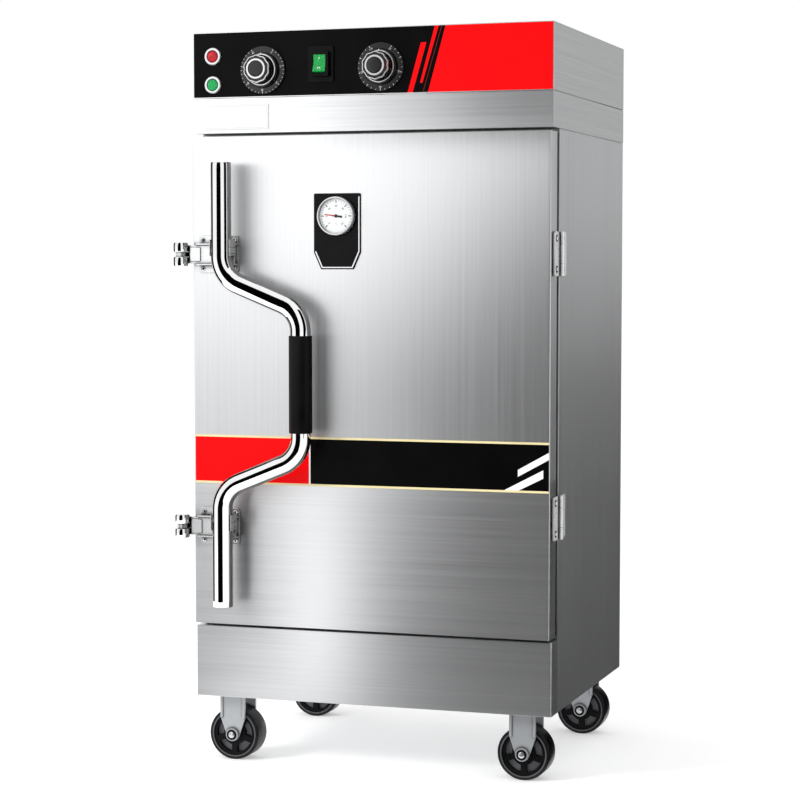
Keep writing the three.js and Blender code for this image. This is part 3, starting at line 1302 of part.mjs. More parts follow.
function gaugeNeedle() {
  const shape = polygon([
    [-NEEDLE_TAIL, -NEEDLE_WIDTH],
    [0, -NEEDLE_WIDTH / 2],
    [NEEDLE_LENGTH, 0],
    [0, NEEDLE_WIDTH / 2],
    [-NEEDLE_TAIL, NEEDLE_WIDTH],
  ]);
  const blade = slabY(shape, -NEEDLE_SHEET, 0);
  const hub = cylinderY(0, 0, NEEDLE_HUB_RADIUS, -2 * NEEDLE_SHEET, 0, 12);
  const dial = GAUGE_BACK - (GAUGE_DEPTH - GAUGE_DIAL_DEPTH);
  return join(blade, hub).rotateY(-radians(NEEDLE_ANGLE))
    .translate(GAUGE_X, dial - FIT_GAP, GAUGE_Z);
}

// Fittings on the back

function floatBox() {
  const x0 = -HALF_WIDTH + FLOAT_BOX_INSET;
  const x1 = x0 + FLOAT_BOX_WIDTH;
  const z0 = BODY_UNDERSIDE + FLOAT_BOX_RAISE;
  const z1 = z0 + FLOAT_BOX_HEIGHT;
  const y0 = CABINET_DEPTH + FIT_GAP;
  const y1 = y0 + FLOAT_BOX_DEPTH;
  const body = slabY(roundedRectangle(x0, x1, z0, z1, FLOAT_BOX_CORNER), y0, y1);
  const lip = FLOAT_BOX_LID_LIP;
  const lid = slabY(roundedRectangle(x0 - lip, x1 + lip, z0 - lip, z1 + lip, FLOAT_BOX_CORNER),
    y1 - FLOAT_BOX_LID, y1);
  const inletY = (y0 + y1 - FLOAT_BOX_LID) / 2;
  const inletZ = z1 - FLOAT_BOX_HEIGHT / 4;
  const nut = cylinderX(inletY, inletZ, INLET_NUT_RADIUS, x0 - INLET_NUT_LENGTH,
    x0 + WELD_OVERLAP, 6);
  const thread = cylinderX(inletY, inletZ, INLET_RADIUS, x0 - INLET_LENGTH, x0);
  const bore = cylinderX(inletY, inletZ, INLET_BORE_RADIUS, x0 - INLET_LENGTH - OVERRUN, x0, 12);
  return cut(join(body, lid, nut, thread), bore);
}

function drainValve() {
  const start = CAVITY_BACK;
  const bodyHalf = VALVE_BODY_LENGTH / 2;
  const end = VALVE_Y + bodyHalf + VALVE_NUT_LENGTH;
  const pipe = cylinderY(DRAIN_X, DRAIN_Z, DRAIN_RADIUS, start, end);
  const nut = (y0) => cylinderY(DRAIN_X, DRAIN_Z, VALVE_NUT_RADIUS, y0, y0 + VALVE_NUT_LENGTH, 6);
  const body = turnedBack([
    [0, -bodyHalf],
    [DRAIN_RADIUS, -bodyHalf],
    [VALVE_BODY_RADIUS, -bodyHalf / 2],
    [VALVE_BODY_RADIUS, bodyHalf / 2],
    [DRAIN_RADIUS, bodyHalf],
    [0, bodyHalf],
  ], 12).translate(DRAIN_X, VALVE_Y, DRAIN_Z);
  const stem = cylinderZ(DRAIN_X, VALVE_Y, VALVE_STEM_RADIUS, DRAIN_Z,
    DRAIN_Z + VALVE_BODY_RADIUS + VALVE_STEM_HEIGHT, 12);
  const inletBore = cylinderY(DRAIN_X, DRAIN_Z, DRAIN_BORE_RADIUS, start - OVERRUN, VALVE_Y - bodyHalf, 12);
  const outletBore = cylinderY(DRAIN_X, DRAIN_Z, DRAIN_BORE_RADIUS, VALVE_Y + bodyHalf, end + OVERRUN, 12);
  return cut(
    join(pipe, nut(VALVE_Y - bodyHalf - VALVE_NUT_LENGTH), nut(VALVE_Y + bodyHalf), body, stem),
    inletBore, outletBore);
}

// A cranked lever that turns on the valve's stem
function drainLever() {
  const z0 = DRAIN_Z + VALVE_BODY_RADIUS + FIT_GAP;
  const hub = cylinderZ(0, 0, LEVER_HUB_RADIUS, 0, VALVE_STEM_HEIGHT);
  const half = LEVER_WIDTH / 2;
  const profile = polygon([
    [0, VALVE_STEM_HEIGHT - LEVER_SHEET],
    [LEVER_LENGTH / 3, VALVE_STEM_HEIGHT - LEVER_SHEET],
    [LEVER_LENGTH / 2, VALVE_STEM_HEIGHT - LEVER_SHEET + LEVER_DROP],
    [LEVER_LENGTH, VALVE_STEM_HEIGHT - LEVER_SHEET + LEVER_DROP],
    [LEVER_LENGTH, VALVE_STEM_HEIGHT + LEVER_DROP],
    [LEVER_LENGTH / 2, VALVE_STEM_HEIGHT + LEVER_DROP],
    [LEVER_LENGTH / 3, VALVE_STEM_HEIGHT],
    [0, VALVE_STEM_HEIGHT],
  ]);
  const blade = slabY(profile, -half, half);
  const bore = cylinderZ(0, 0, boreFor(VALVE_STEM_RADIUS), -OVERRUN, VALVE_STEM_HEIGHT + OVERRUN);
  return cut(join(hub, blade), bore).translate(DRAIN_X, VALVE_Y, z0);
}

function cableGland() {
  const nut = turnedBack([
    [GLAND_BORE_RADIUS, 0],
    [GLAND_NUT_RADIUS, 0],
    [GLAND_NUT_RADIUS, GLAND_NUT_LENGTH],
    [GLAND_BORE_RADIUS, GLAND_NUT_LENGTH],
    [GLAND_BORE_RADIUS, 0],
  ], 6);
  const sleeve = turnedBack([
    [GLAND_BORE_RADIUS, -GLAND_INSIDE],
    [GLAND_THREAD_RADIUS, -GLAND_INSIDE],
    [GLAND_THREAD_RADIUS, GLAND_NUT_LENGTH],
    [GLAND_DOME_RADIUS, GLAND_NUT_LENGTH + GLAND_DOME_LENGTH],
    [GLAND_BORE_RADIUS, GLAND_NUT_LENGTH + GLAND_DOME_LENGTH],
    [GLAND_BORE_RADIUS, -GLAND_INSIDE],
  ], 12);
  return join(nut, sleeve).translate(GLAND_X, CABINET_DEPTH + FIT_GAP, GLAND_Z);
}

// Casters

function casterPlaces() {
  const x = HALF_WIDTH - CASTER_INSET_X;
  const front = CASTER_INSET_Y;
  const rear = CABINET_DEPTH - CASTER_INSET_Y;
  return {
    front_left: [-x, front],
    front_right: [x, front],
    rear_left: [-x, rear],
    rear_right: [x, rear],
  };
}

// Outline of one fork cheek, seen from the front: straight sides, then a taper to the axle
function cheekOutline(inset) {
  const half = FORK_WIDTH / 2 - inset;
  const tip = FORK_TIP_RADIUS - inset;
  const top = CASTER_HEIGHT - CASTER_SHEET / 2;
  const drop = FORK_STRAIGHT_END - WHEEL_RADIUS;
  const slope = Math.atan2(half, drop) + Math.acos(tip / Math.hypot(half, drop));
  const shape = new THREE.Shape();
  shape.moveTo(-half, top);
  shape.lineTo(-half, FORK_STRAIGHT_END);
  shape.absarc(0, WHEEL_RADIUS, tip, Math.PI / 2 + slope, 2.5 * Math.PI - slope, false);
  shape.lineTo(half, FORK_STRAIGHT_END);
  shape.lineTo(half, top);
  shape.closePath();
  return shape;
}

function casterFork() {
  const cheekInner = WHEEL_WIDTH / 2 + WHEEL_SIDE_GAP;
  const cheekOuter = cheekInner + CASTER_SHEET;
  const plateHalf = CASTER_PLATE_LENGTH / 2;
  const plateSide = CASTER_PLATE_WIDTH / 2;
  const plate = slabZ(
    roundedRectangle(-plateHalf, plateHalf, -plateSide, plateSide, CASTER_PLATE_CORNER),
    CASTER_HEIGHT - CASTER_SHEET, CASTER_HEIGHT);
  const crown = block(-FORK_WIDTH / 2, FORK_WIDTH / 2, -cheekOuter, cheekOuter,
    CASTER_HEIGHT - 2 * CASTER_SHEET, CASTER_HEIGHT - CASTER_SHEET / 2);
  const cheek = (sign) => {
    const near = sign > 0 ? cheekInner : -cheekOuter;
    const plain = slabY(cheekOutline(0), near, near + CASTER_SHEET, 3);
    const ribFront = sign > 0 ? cheekOuter - WELD_OVERLAP : -cheekOuter - FORK_RIB;
    const rib = (x0) => block(x0, x0 + FORK_RIB_WIDTH, ribFront, ribFront + FORK_RIB + WELD_OVERLAP,
      FORK_STRAIGHT_END, CASTER_HEIGHT - CASTER_SHEET / 2);
    return join(plain, rib(-FORK_WIDTH / 2), rib(FORK_WIDTH / 2 - FORK_RIB_WIDTH));
  };
  const axle = cylinderY(0, WHEEL_RADIUS, AXLE_RADIUS, -cheekOuter, cheekOuter);
  const headReach = cheekOuter + AXLE_HEAD_HEIGHT;
  const head = cylinderY(0, WHEEL_RADIUS, AXLE_HEAD_RADIUS, -headReach, -cheekOuter + WELD_OVERLAP, 6);
  const nut = cylinderY(0, WHEEL_RADIUS, AXLE_HEAD_RADIUS, cheekOuter - WELD_OVERLAP, headReach, 6);
  return join(plate, crown, cheek(1), cheek(-1), axle, head, nut);
}

// A wheel with a raised rim, a hub and wedge pockets between the spokes on each side.
// It stands on one of its flats, which lie at the wheel's radius.
function casterWheel() {
  const half = WHEEL_WIDTH / 2;
  const treadRadius = WHEEL_RADIUS / Math.cos(Math.PI / WHEEL_SIDES);
  const rimInner = WHEEL_RADIUS - WHEEL_RIM;
  const side = (sign) => [
    [WHEEL_BORE_RADIUS, sign * half],
    [WHEEL_HUB_RADIUS, sign * half],
    [rimInner, sign * (half - WHEEL_RECESS)],
    [treadRadius - WHEEL_EDGE, sign * half],
    [treadRadius, sign * (half - WHEEL_EDGE)],
  ];
  const profile = [...side(-1), ...side(1).reverse()];
  profile.push(profile[0]);
  const body = turned(profile, WHEEL_SIDES).rotateZ(Math.PI / WHEEL_SIDES).rotateX(Math.PI / 2);
  const pockets = [];
  const inner = WHEEL_HUB_RADIUS + 2 * WHEEL_RECESS;
  const outer = rimInner - 2 * WHEEL_RECESS;
  for (let i = 0; i < WHEEL_POCKETS; i += 1) {
    const spread = 2 * Math.PI / WHEEL_POCKETS;
    const shape = new THREE.Shape();
    const innerHalf = spread / 2 - WHEEL_SPOKE / 2 / inner;
    const outerHalf = spread / 2 - WHEEL_SPOKE / 2 / outer;
    shape.absarc(0, 0, outer, -outerHalf, outerHalf, false);
    shape.lineTo(inner * Math.cos(innerHalf), inner * Math.sin(innerHalf));
    shape.lineTo(inner * Math.cos(innerHalf), -inner * Math.sin(innerHalf));
    shape.closePath();
    const turn = i * spread - Math.PI / 2 + spread / 2;
    const pocket = (y0, y1) => slabY(shape, y0, y1, 2).rotateY(-turn);
    pockets.push(pocket(-half - OVERRUN, -half + WHEEL_RECESS + WHEEL_POCKET_DEPTH));
    pockets.push(pocket(half - WHEEL_RECESS - WHEEL_POCKET_DEPTH, half + OVERRUN));
  }
  return cut(body, ...pockets);
}

// Assembly

function finish(colour, roughness, metalness) {
  return new THREE.MeshStandardMaterial({ color: colour, roughness, metalness });
}

const brushedSteel = () => finish(COLOURS.brushed, 0.35, 0.9);
const brightSteel = () => finish(COLOURS.bright, 0.25, 0.95);
const polishedSteel = () => finish(COLOURS.polished, 0.08, 1);
const linerSteel = () => finish(COLOURS.inner, 0.4, 0.9);
const zincSteel = () => finish(COLOURS.zinc, 0.4, 0.9);
const blackPlastic = () => finish(COLOURS.black, 0.45, 0);
const foamWhite = () => finish(COLOURS.foam, 0.9, 0);

const cabinet = new THREE.Group();
cabinet.name = 'rice_steamer_cabinet';
const body = new THREE.Group();
const door = new THREE.Group();
const casters = new THREE.Group();
cabinet.add(body, door, casters);

function place(group, name, geometry, material) {
  const mesh = new THREE.Mesh(geometry, material);
  mesh.name = name;
  group.add(mesh);
  return mesh;
}

place(body, 'outer_shell', outerShell(), brushedSteel());
place(body, 'header_cap', headerCap(), brightSteel());
place(body, 'control_housing', controlHousing(), brushedSteel());
place(body, 'plinth', plinth(), brushedSteel());
place(body, 'base_pan', basePan(), zincSteel());
place(body, 'inner_liner', innerLiner(), linerSteel());
place(body, 'insulation_jacket', insulationJacket(), foamWhite());
place(body, 'heating_element', heatingElement(), finish(COLOURS.grey, 0.4, 0.9));
place(body, 'slotted_baffle', slottedBaffle(), linerSteel());
place(body, 'tray_rack_left', trayRack(-1), linerSteel());
place(body, 'tray_rack_right', trayRack(1), linerSteel());
for (let i = 0; i < TRAY_COUNT; i += 1) {
  place(body, `tray_${i + 1}`, steamingTray(i), brightSteel());
}

place(body, 'control_gear', controlGear(), finish(COLOURS.grey, 0.5, 0.6));
place(body, 'timer_knob', controlKnob(TIMER_X), blackPlastic());
place(body, 'thermostat_knob', controlKnob(THERMOSTAT_X), blackPlastic());
place(body, 'lamp_red', indicatorLamp(CABINET_TOP - RED_LAMP_DROP), finish(COLOURS.red, 0.2, 0));
place(body, 'lamp_green', indicatorLamp(CABINET_TOP - GREEN_LAMP_DROP), finish(COLOURS.green, 0.2, 0));
place(body, 'switch_housing', switchHousing(), blackPlastic());
place(body, 'switch_rocker', switchRocker(), finish(COLOURS.green, 0.25, 0));

place(body, 'float_box', floatBox(), brushedSteel());
place(body, 'drain_valve', drainValve(), finish(COLOURS.brass, 0.35, 0.9));
place(body, 'drain_lever', drainLever(), finish(COLOURS.red, 0.5, 0));
place(body, 'cable_gland', cableGland(), blackPlastic());

place(door, 'door_outer_panel', doorOuterPanel(), brushedSteel());
place(door, 'door_inner_panel', doorInnerPanel(), linerSteel());
place(door, 'door_insulation', doorInsulation(), foamWhite());
place(door, 'door_gasket', doorGasket(), finish(COLOURS.silicone, 0.8, 0));
place(door, 'gauge_plate', gaugePlate(), blackPlastic());
place(door, 'gauge_case', gaugeCase(), polishedSteel());
place(door, 'gauge_lens', gaugeLens(), finish(COLOURS.glass, 0.05, 0));
place(door, 'gauge_needle', gaugeNeedle(), finish(COLOURS.red, 0.5, 0));
place(door, 'handle_tube', handleTube(), polishedSteel());
place(door, 'grip_sleeve', gripSleeve(), finish(COLOURS.rubber, 0.75, 0));

const LEVEL_NAMES = ['upper', 'lower'];
hingeLevels().forEach((z, i) => {
  place(door, `hinge_door_leaf_${LEVEL_NAMES[i]}`, hingeDoorLeaf(z), brightSteel());
  place(body, `hinge_frame_leaf_${LEVEL_NAMES[i]}`, hingeFrameLeaf(z), brightSteel());
});
latchLevels().forEach((z, i) => {
  place(door, `latch_bracket_${LEVEL_NAMES[i]}`, latchBracket(z), brightSteel());
  place(door, `latch_tongue_${LEVEL_NAMES[i]}`, latchTongue(z), brightSteel());
  place(body, `latch_keeper_${LEVEL_NAMES[i]}`, latchKeeper(z), brightSteel());
  place(body, `keeper_roller_${LEVEL_NAMES[i]}`, keeperRoller(z), polishedSteel());
});

for (const [corner, [x, y]] of Object.entries(casterPlaces())) {
  const caster = new THREE.Group();
  caster.position.set(x, y, 0);
  casters.add(caster);
  place(caster, `caster_fork_${corner}`, casterFork(), zincSteel());
  const wheel = place(caster, `caster_wheel_${corner}`, casterWheel(), finish(COLOURS.nylon, 0.45, 0));
  wheel.position.z = WHEEL_RADIUS;
}

// The origin goes to the floor under the middle of the bounding box
cabinet.updateMatrixWorld(true);
const extent = new THREE.Box3().setFromObject(cabinet, true);
const middle = extent.getCenter(new THREE.Vector3());
cabinet.position.set(-middle.x, -middle.y, -extent.min.z);
cabinet.updateMatrixWorld(true);

export default cabinet;
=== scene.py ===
"""Rice steamer cabinet, dressed as in its photograph.

Places and sizes of the pieces are written in millimetres in the cabinet's own layout: X is zero
at its middle, Y is zero at the front of the header band, Z is zero on the floor. One matrix
takes them to the frame.
"""

import math

import bpy
from mathutils import Matrix, Vector


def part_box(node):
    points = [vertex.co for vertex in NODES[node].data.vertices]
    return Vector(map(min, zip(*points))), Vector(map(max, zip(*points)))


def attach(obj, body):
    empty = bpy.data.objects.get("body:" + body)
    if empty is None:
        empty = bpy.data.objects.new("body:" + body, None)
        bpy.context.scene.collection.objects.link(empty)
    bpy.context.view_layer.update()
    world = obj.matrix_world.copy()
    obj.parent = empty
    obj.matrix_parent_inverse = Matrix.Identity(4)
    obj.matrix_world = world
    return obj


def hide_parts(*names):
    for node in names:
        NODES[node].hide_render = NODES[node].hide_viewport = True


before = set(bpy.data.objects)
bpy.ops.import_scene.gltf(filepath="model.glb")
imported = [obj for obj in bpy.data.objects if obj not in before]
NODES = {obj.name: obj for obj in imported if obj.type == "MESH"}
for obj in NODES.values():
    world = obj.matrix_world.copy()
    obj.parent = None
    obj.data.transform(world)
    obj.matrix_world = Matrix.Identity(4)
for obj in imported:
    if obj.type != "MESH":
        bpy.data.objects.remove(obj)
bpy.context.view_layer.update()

# Sizes that the pieces share with the cabinet
DOOR_FACE = -10
BACK_FACE = 560
HANDLE_X = -271
HANDLE_Y = -57
CRANK = 157
TUBE_RADIUS = 19
BEND_RADIUS = 55
BEND_ANGLE = math.radians(68)
GRIP_RUN = 196
LATCH_LEVELS = {"upper": 970, "lower": 457}
HINGE_LEVELS = {"upper": 970, "lower": 490}
ROLLER_X = -363.6
ROLLER_Y = -31.96
KNOB_Z = 1312
KNOBS = {"timer": -208, "thermostat": 24}
PANEL_FACE = -0.3
LAMP_X = -309
LAMPS = {"red": 1340, "green": 1287}
SWITCH_X = -93
SWITCH_Z = 1320
GAUGE_X = -58
GAUGE_Z = 1040
GAUGE_BACK = -12.1
WHEELS = {"front_left": (-288, 58), "front_right": (288, 58),
          "rear_left": (-288, 502), "rear_right": (288, 502)}
WHEEL_RADIUS = 50

shell_low, shell_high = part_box("outer_shell")
ORIGIN = Vector(((shell_low.x + shell_high.x) / 2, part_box("header_cap")[0].y, 0))
TO_FRAME = Matrix.Translation(ORIGIN) @ Matrix.Scale(0.001, 4)


# Materials

def linear(colour, alpha=1.0):
    """An sRGB colour such as 0xc4c7c9, as the linear numbers that a shader takes."""
    shares = [(colour >> shift & 255) / 255 for shift in (16, 8, 0)]
    return tuple(c / 12.92 if c <= 0.04045 else ((c + 0.055) / 1.055) ** 2.4
                 for c in shares) + (alpha,)


def node(tree, kind, inputs=None, **settings):
    """Adds a shader node; inputs maps each socket to a value or to the output that feeds it."""
    made = tree.nodes.new("ShaderNode" + kind)
    for name, value in settings.items():
        setattr(made, name, value)
    for name, value in (inputs or {}).items():
        if isinstance(value, bpy.types.NodeSocket):
            tree.links.new(value, made.inputs[name])
        else:
            made.inputs[name].default_value = value
    return made


def material(name):
    """An empty material with its tree, its output and object coordinates in metres."""
    made = bpy.data.materials.new(name)
    made.use_nodes = True
    tree = made.node_tree
    tree.nodes.clear()
    output = node(tree, "OutputMaterial")
    coordinates = node(tree, "TexCoord").outputs["Object"]
    return made, tree, output, coordinates


def streaks(tree, coordinates, stretch, detail=4.0, seed=0.0):
    """Noise whose features measure stretch millimetres along X, Y and Z."""
    scale = tuple(1000.0 / length for length in stretch)
    mapping = node(tree, "Mapping", {"Vector": coordinates, "Scale": scale,
                                     "Location": (seed, seed, seed)})
    return node(tree, "TexNoise", {"Vector": mapping.outputs["Vector"], "Scale": 1.0,
                                   "Detail": detail, "Roughness": 0.6}).outputs["Fac"]


def ranged(tree, value, low, high, start=0.3, end=0.7):
    """A value from start to end, turned into one from low to high."""
    return node(tree, "MapRange", {"Value": value, "From Min": start, "From Max": end,
                                   "To Min": low, "To Max": high}).outputs["Result"]


def blended(tree, share, first, second):
    """Two colours mixed by a share."""
    mix = node(tree, "Mix", {"Factor": share}, data_type="RGBA")
    for socket, colour in ((mix.inputs[6], first), (mix.inputs[7], second)):
        if isinstance(colour, bpy.types.NodeSocket):
            tree.links.new(colour, socket)
        else:
            socket.default_value = linear(colour)
    return mix.outputs[2]


def raised(tree, height, distance):
    """A bump of so many millimetres."""
    return node(tree, "Bump", {"Height": height, "Distance": distance / 1000}).outputs["Normal"]


def finish(tree, output, inputs):
    """The surface shader, given its inputs."""
    shader = node(tree, "BsdfPrincipled", inputs)
    tree.links.new(shader.outputs["BSDF"], output.inputs["Surface"])


# Brushed stainless steel. Real scratches are about 0.1 mm wide, which doesn't show, so they are
# drawn coarser, in scratches and bands of these widths and lengths. Along the grain the gloss
# stays tight, across it the reflections spread.
SCRATCH = (1.1, 320)
BAND = (7, 900)
STEEL_METAL = 0.92


def brushed_steel(name, upright, colour=0xf4f5f6, dark=0xe6e7e9, roughness=0.34, level_below=None):
    """Brushed steel, its grain upright or level, or level below a height and upright above."""
    made, tree, output, coordinates = material(name)
    grains = []
    for standing in [upright] if level_below is None else [False, True]:
        fine_size, broad_size = [(width, width, length) if standing else (length, length, width)
                                 for width, length in (SCRATCH, BAND)]
        fine = streaks(tree, coordinates, fine_size, 3.0)
        broad = streaks(tree, coordinates, broad_size, 3.0, 5.0)
        grains.append(node(tree, "Math", {0: fine, 1: broad}, operation="ADD").outputs[0])
    turn = 0.0 if upright else 0.25
    both = grains[0]
    if level_below is not None:
        height = node(tree, "SeparateXYZ", {"Vector": coordinates}).outputs["Z"]
        above = node(tree, "Math", {0: height, 1: level_below / 1000},
                     operation="GREATER_THAN").outputs[0]
        both = node(tree, "Mix", {"Factor": above, 2: grains[0], 3: grains[1]}).outputs[0]
        turn = ranged(tree, above, 0.25, 0.0, 0.0, 1.0)
    tint = blended(tree, ranged(tree, both, 0.0, 1.0, 0.7, 1.3), dark, colour)
    gloss = ranged(tree, both, roughness - 0.04, roughness + 0.05, 0.7, 1.3)
    finish(tree, output, {
        "Base Color": tint, "Metallic": STEEL_METAL, "Roughness": gloss, "Anisotropic": 0.7,
        "Anisotropic Rotation": turn,
        "Tangent": node(tree, "Tangent", direction_type="RADIAL", axis="Z").outputs[0],
        "Normal": raised(tree, both, 0.012)})
    return made


def smooth_metal(name, colour, roughness, spots=30.0, depth=0.0, clouds=0.12, metal=1.0, shade_reach=0):
    """Plain metal with faint cloudiness in its gloss; its last argument is how far, in
    millimetres, a shade painted from ambient occlusion reaches out of its joints and corners."""
    made, tree, output, coordinates = material(name)
    cloud = streaks(tree, coordinates, (spots, spots, spots), 3.0)
    tint = blended(tree, ranged(tree, cloud, 0.0, clouds), colour, 0x9a9c9e)
    if shade_reach:
        # Painted shade: ambient occlusion darkens the tint near joints, corners and neighbouring
        # parts
        painted_shade = node(tree, "AmbientOcclusion", {"Distance": shade_reach / 1000}, samples=6).outputs["AO"]
        tint = blended(tree, ranged(tree, painted_shade, 0.0, 1.0, 0.45, 0.97), 0x060607, tint)
    inputs = {"Base Color": tint, "Metallic": metal,
              "Roughness": ranged(tree, cloud, roughness * 0.85, roughness * 1.15)}
    if depth:
        inputs["Normal"] = raised(tree, cloud, depth)
    finish(tree, output, inputs)
    return made


def mirror_metal(name, colour, smear):
    """Buffed or plated metal: a true mirror, its tint faintly smeared by wiping."""
    made, tree, output, coordinates = material(name)
    wiped = streaks(tree, coordinates, (35, 35, 110), 3.0)
    finish(tree, output, {
        "Base Color": blended(tree, ranged(tree, wiped, 0.0, 1.0), colour, smear),
        "Metallic": 1.0, "Roughness": 0.0})
    return made


def moulded_plastic(name, colour, light, roughness, grain=0.6, depth=0.01, sheen=0.35):
    """Moulded plastic: a fine spark-eroded grain that breaks up the gloss."""
    made, tree, output, coordinates = material(name)
    pebble = streaks(tree, coordinates, (grain, grain, grain), 2.0)
    cloud = streaks(tree, coordinates, (40, 40, 40), 3.0, 3.0)
    finish(tree, output, {
        "Base Color": blended(tree, ranged(tree, cloud, 0.0, 1.0), colour, light),
        "Roughness": ranged(tree, cloud, roughness * 0.85, roughness * 1.2),
        "IOR": 1.5, "Specular IOR Level": sheen, "Normal": raised(tree, pebble, depth)})
    return made


def printed_film(name, colour, deep, roughness=0.22, sheen=0.5):
    """Screen-printed polyester film: an even ink under a glossy skin with a faint orange peel."""
    made, tree, output, coordinates = material(name)
    peel = streaks(tree, coordinates, (14, 14, 14), 2.0)
    ink = streaks(tree, coordinates, (90, 90, 90), 3.0, 2.0)
    finish(tree, output, {
        "Base Color": blended(tree, ranged(tree, ink, 0.0, 1.0), colour, deep),
        "Roughness": ranged(tree, ink, roughness * 0.85, roughness * 1.2),
        "IOR": 1.5, "Specular IOR Level": sheen, "Normal": raised(tree, peel, 0.02)})
    return made


def lens_plastic(name, colour, painted_light):
    """Clear tinted polycarbonate over a lamp: deep colour, high gloss, and painted light: bright
    facets and a faint glow.
    """
    made, tree, output, coordinates = material(name)
    facets = node(tree, "TexVoronoi", {"Vector": coordinates, "Scale": 260.0}).outputs["Distance"]
    # Painted light: the facets are tinted towards a bright colour, as if lit from inside
    tint = blended(tree, ranged(tree, facets, 0.0, 1.0, 0.1, 0.7), painted_light, colour)
    # Painted glow: a faint emission of the bright colour stands in for light caught inside
    finish(tree, output, {
        "Base Color": tint, "Roughness": 0.12, "IOR": 1.58, "Specular IOR Level": 0.3,
        "Emission Color": linear(painted_light), "Emission Strength": 0.12,
        "Normal": raised(tree, facets, 0.15)})
    return made


def clear_glass(name):
    """Thin coated glass: next to no colour, only a faint reflection shows."""
    made, tree, output, coordinates = material(name)
    wave = streaks(tree, coordinates, (60, 60, 60), 1.0)
    clear = node(tree, "BsdfTransparent", {"Color": linear(0xfdfefe)})
    gloss = node(tree, "BsdfGlossy", {"Color": linear(0xffffff), "Roughness": 0.03,
                                      "Normal": raised(tree, wave, 0.02)})
    edge = node(tree, "Fresnel", {"IOR": 1.5}).outputs["Fac"]
    coated = node(tree, "Math", {0: edge, 1: 0.3}, operation="MULTIPLY").outputs[0]
    mix = node(tree, "MixShader", {0: coated, 1: clear.outputs[0], 2: gloss.outputs[0]})
    tree.links.new(mix.outputs[0], output.inputs["Surface"])
    return made


def mineral_wool(name):
    """Pressed mineral wool: yellowish felted fibres, quite dull."""
    made, tree, output, coordinates = material(name)
    fibre = streaks(tree, coordinates, (2, 14, 3), 5.0)
    finish(tree, output, {
        "Base Color": blended(tree, ranged(tree, fibre, 0.0, 1.0), 0xb9a86a, 0xe0d6a8),
        "Roughness": 0.95, "Normal": raised(tree, fibre, 0.8)})
    return made


# Sheet brushed with a No. 4 belt: soft streaks that draw every reflection out along the grain
SATIN_DOOR = brushed_steel("stainless_brushed_door", True, level_below=560)
SATIN_UPRIGHT = brushed_steel("stainless_brushed_upright", True)
SATIN_LEVEL = brushed_steel("stainless_brushed_level", False)
# The same sheet off a finer belt: tighter gloss, so the light falls off sooner
SATIN_HEADER = brushed_steel("stainless_brushed_header", False, roughness=0.22)
# Mill-finished sheet inside: greyer, with blurred reflections
INNER_STEEL = brushed_steel("stainless_mill_finish", True, 0xd6d8da, 0xc4c6c9, 0.4)
# Deep-drawn trays: no grain, a cloudy sheen
TRAY_STEEL = smooth_metal("stainless_drawn_tray", 0xd2d4d6, 0.24, 45)
# Buffed tube: a clean mirror that shows the studio as black and white lines
MIRROR_STEEL = mirror_metal("stainless_mirror_polished", 0xfcfcfc, 0xf2f2f2)
# Cast and tumbled latch parts: bright faces, with shade painted dark into their joints and gaps
CAST_STEEL = smooth_metal("stainless_cast_polished", 0xe6e7e8, 0.16, 6, 0.02, 0.08, 0.75, 9)
# Nickel-plated zinc castings of the hinges: paler than the sheet, soft at their edges, with shade
# painted into their joints and slots
HINGE_ZINC = smooth_metal("zinc_die_cast_plated", 0xf4f4f5, 0.3, 8, 0.02, 0.06, 0.45, 14)
# Turned trim: a bright, soft line round lamps, knobs and dial, with a little shade painted where it
# meets other parts
TRIM_STEEL = smooth_metal("stainless_turned_trim", 0xe2e2e4, 0.2, 12, 0.0, 0.05, 0.85, 4)
# Galvanised pressings of the casters: dull grey, faintly spangled, with shade painted into their
# corners
ZINC_STEEL = smooth_metal("zinc_plated_steel", 0xb4b7ba, 0.34, 9, 0.02, 0.15, 0.4, 6)
# Chromium plate on rollers and screws: small hard highlights
CHROME = mirror_metal("chrome_plated", 0xf6f6f7, 0xecedee)
# Heater sheath: brown-grey from heat
SHEATH = smooth_metal("heater_sheath_alloy", 0x6d6a63, 0.42, 12, 0.03)
# Turned brass of the drain valve: warm, with a satin gloss
BRASS = smooth_metal("brass_turned", 0xc09a52, 0.26, 14, 0.02)
# Polished ABS: deep black under a weak, sharp reflection
BLACK_ABS = moulded_plastic("abs_black_gloss", 0x060607, 0x0c0c0d, 0.2, sheen=0.1)
# Phenolic knobs: black with the strongest gloss of the plastics
BLACK_PHENOLIC = moulded_plastic("phenolic_black_moulded", 0x0a0a0b, 0x111112, 0.14, 0.8, 0.006,
                                 0.5)
# Nylon: black and nearly matt; its black also fills the rings that stand in for the shade round the
# axle bolts and in the hinge screws' countersinks. The turned tread catches more light; the pocket
# floors are painted lighter grey against the shade in the pockets, and the rim line is a painted
# highlight
BLACK_NYLON_AND_SHADE_RINGS = moulded_plastic("nylon_black_moulded_and_shade_rings", 0x08090a, 0x0e0f10, 0.4, 0.8, 0.02, 0.12)
WHEEL_TREAD = moulded_plastic("nylon_black_turned_tread", 0x0d0d0f, 0x161719, 0.3, 1.5, 0.03,
                              0.25)
WHEEL_POCKET_LIGHT = moulded_plastic("nylon_pocket_floor_painted_light", 0x5c5c60, 0x66666b, 0.4, 1.5, 0.03, 0.4)
WHEEL_RIM_HIGHLIGHT = moulded_plastic("nylon_rim_painted_highlight", 0x4c4d50, 0x58595c, 0.35, 1.5, 0.02, 0.4)
# Foam rubber grip: pebbled black that hardly shines
GRIP_RUBBER = moulded_plastic("foam_rubber_grip", 0x070707, 0x0d0d0e, 0.4, 1.6, 0.1, 0.12)
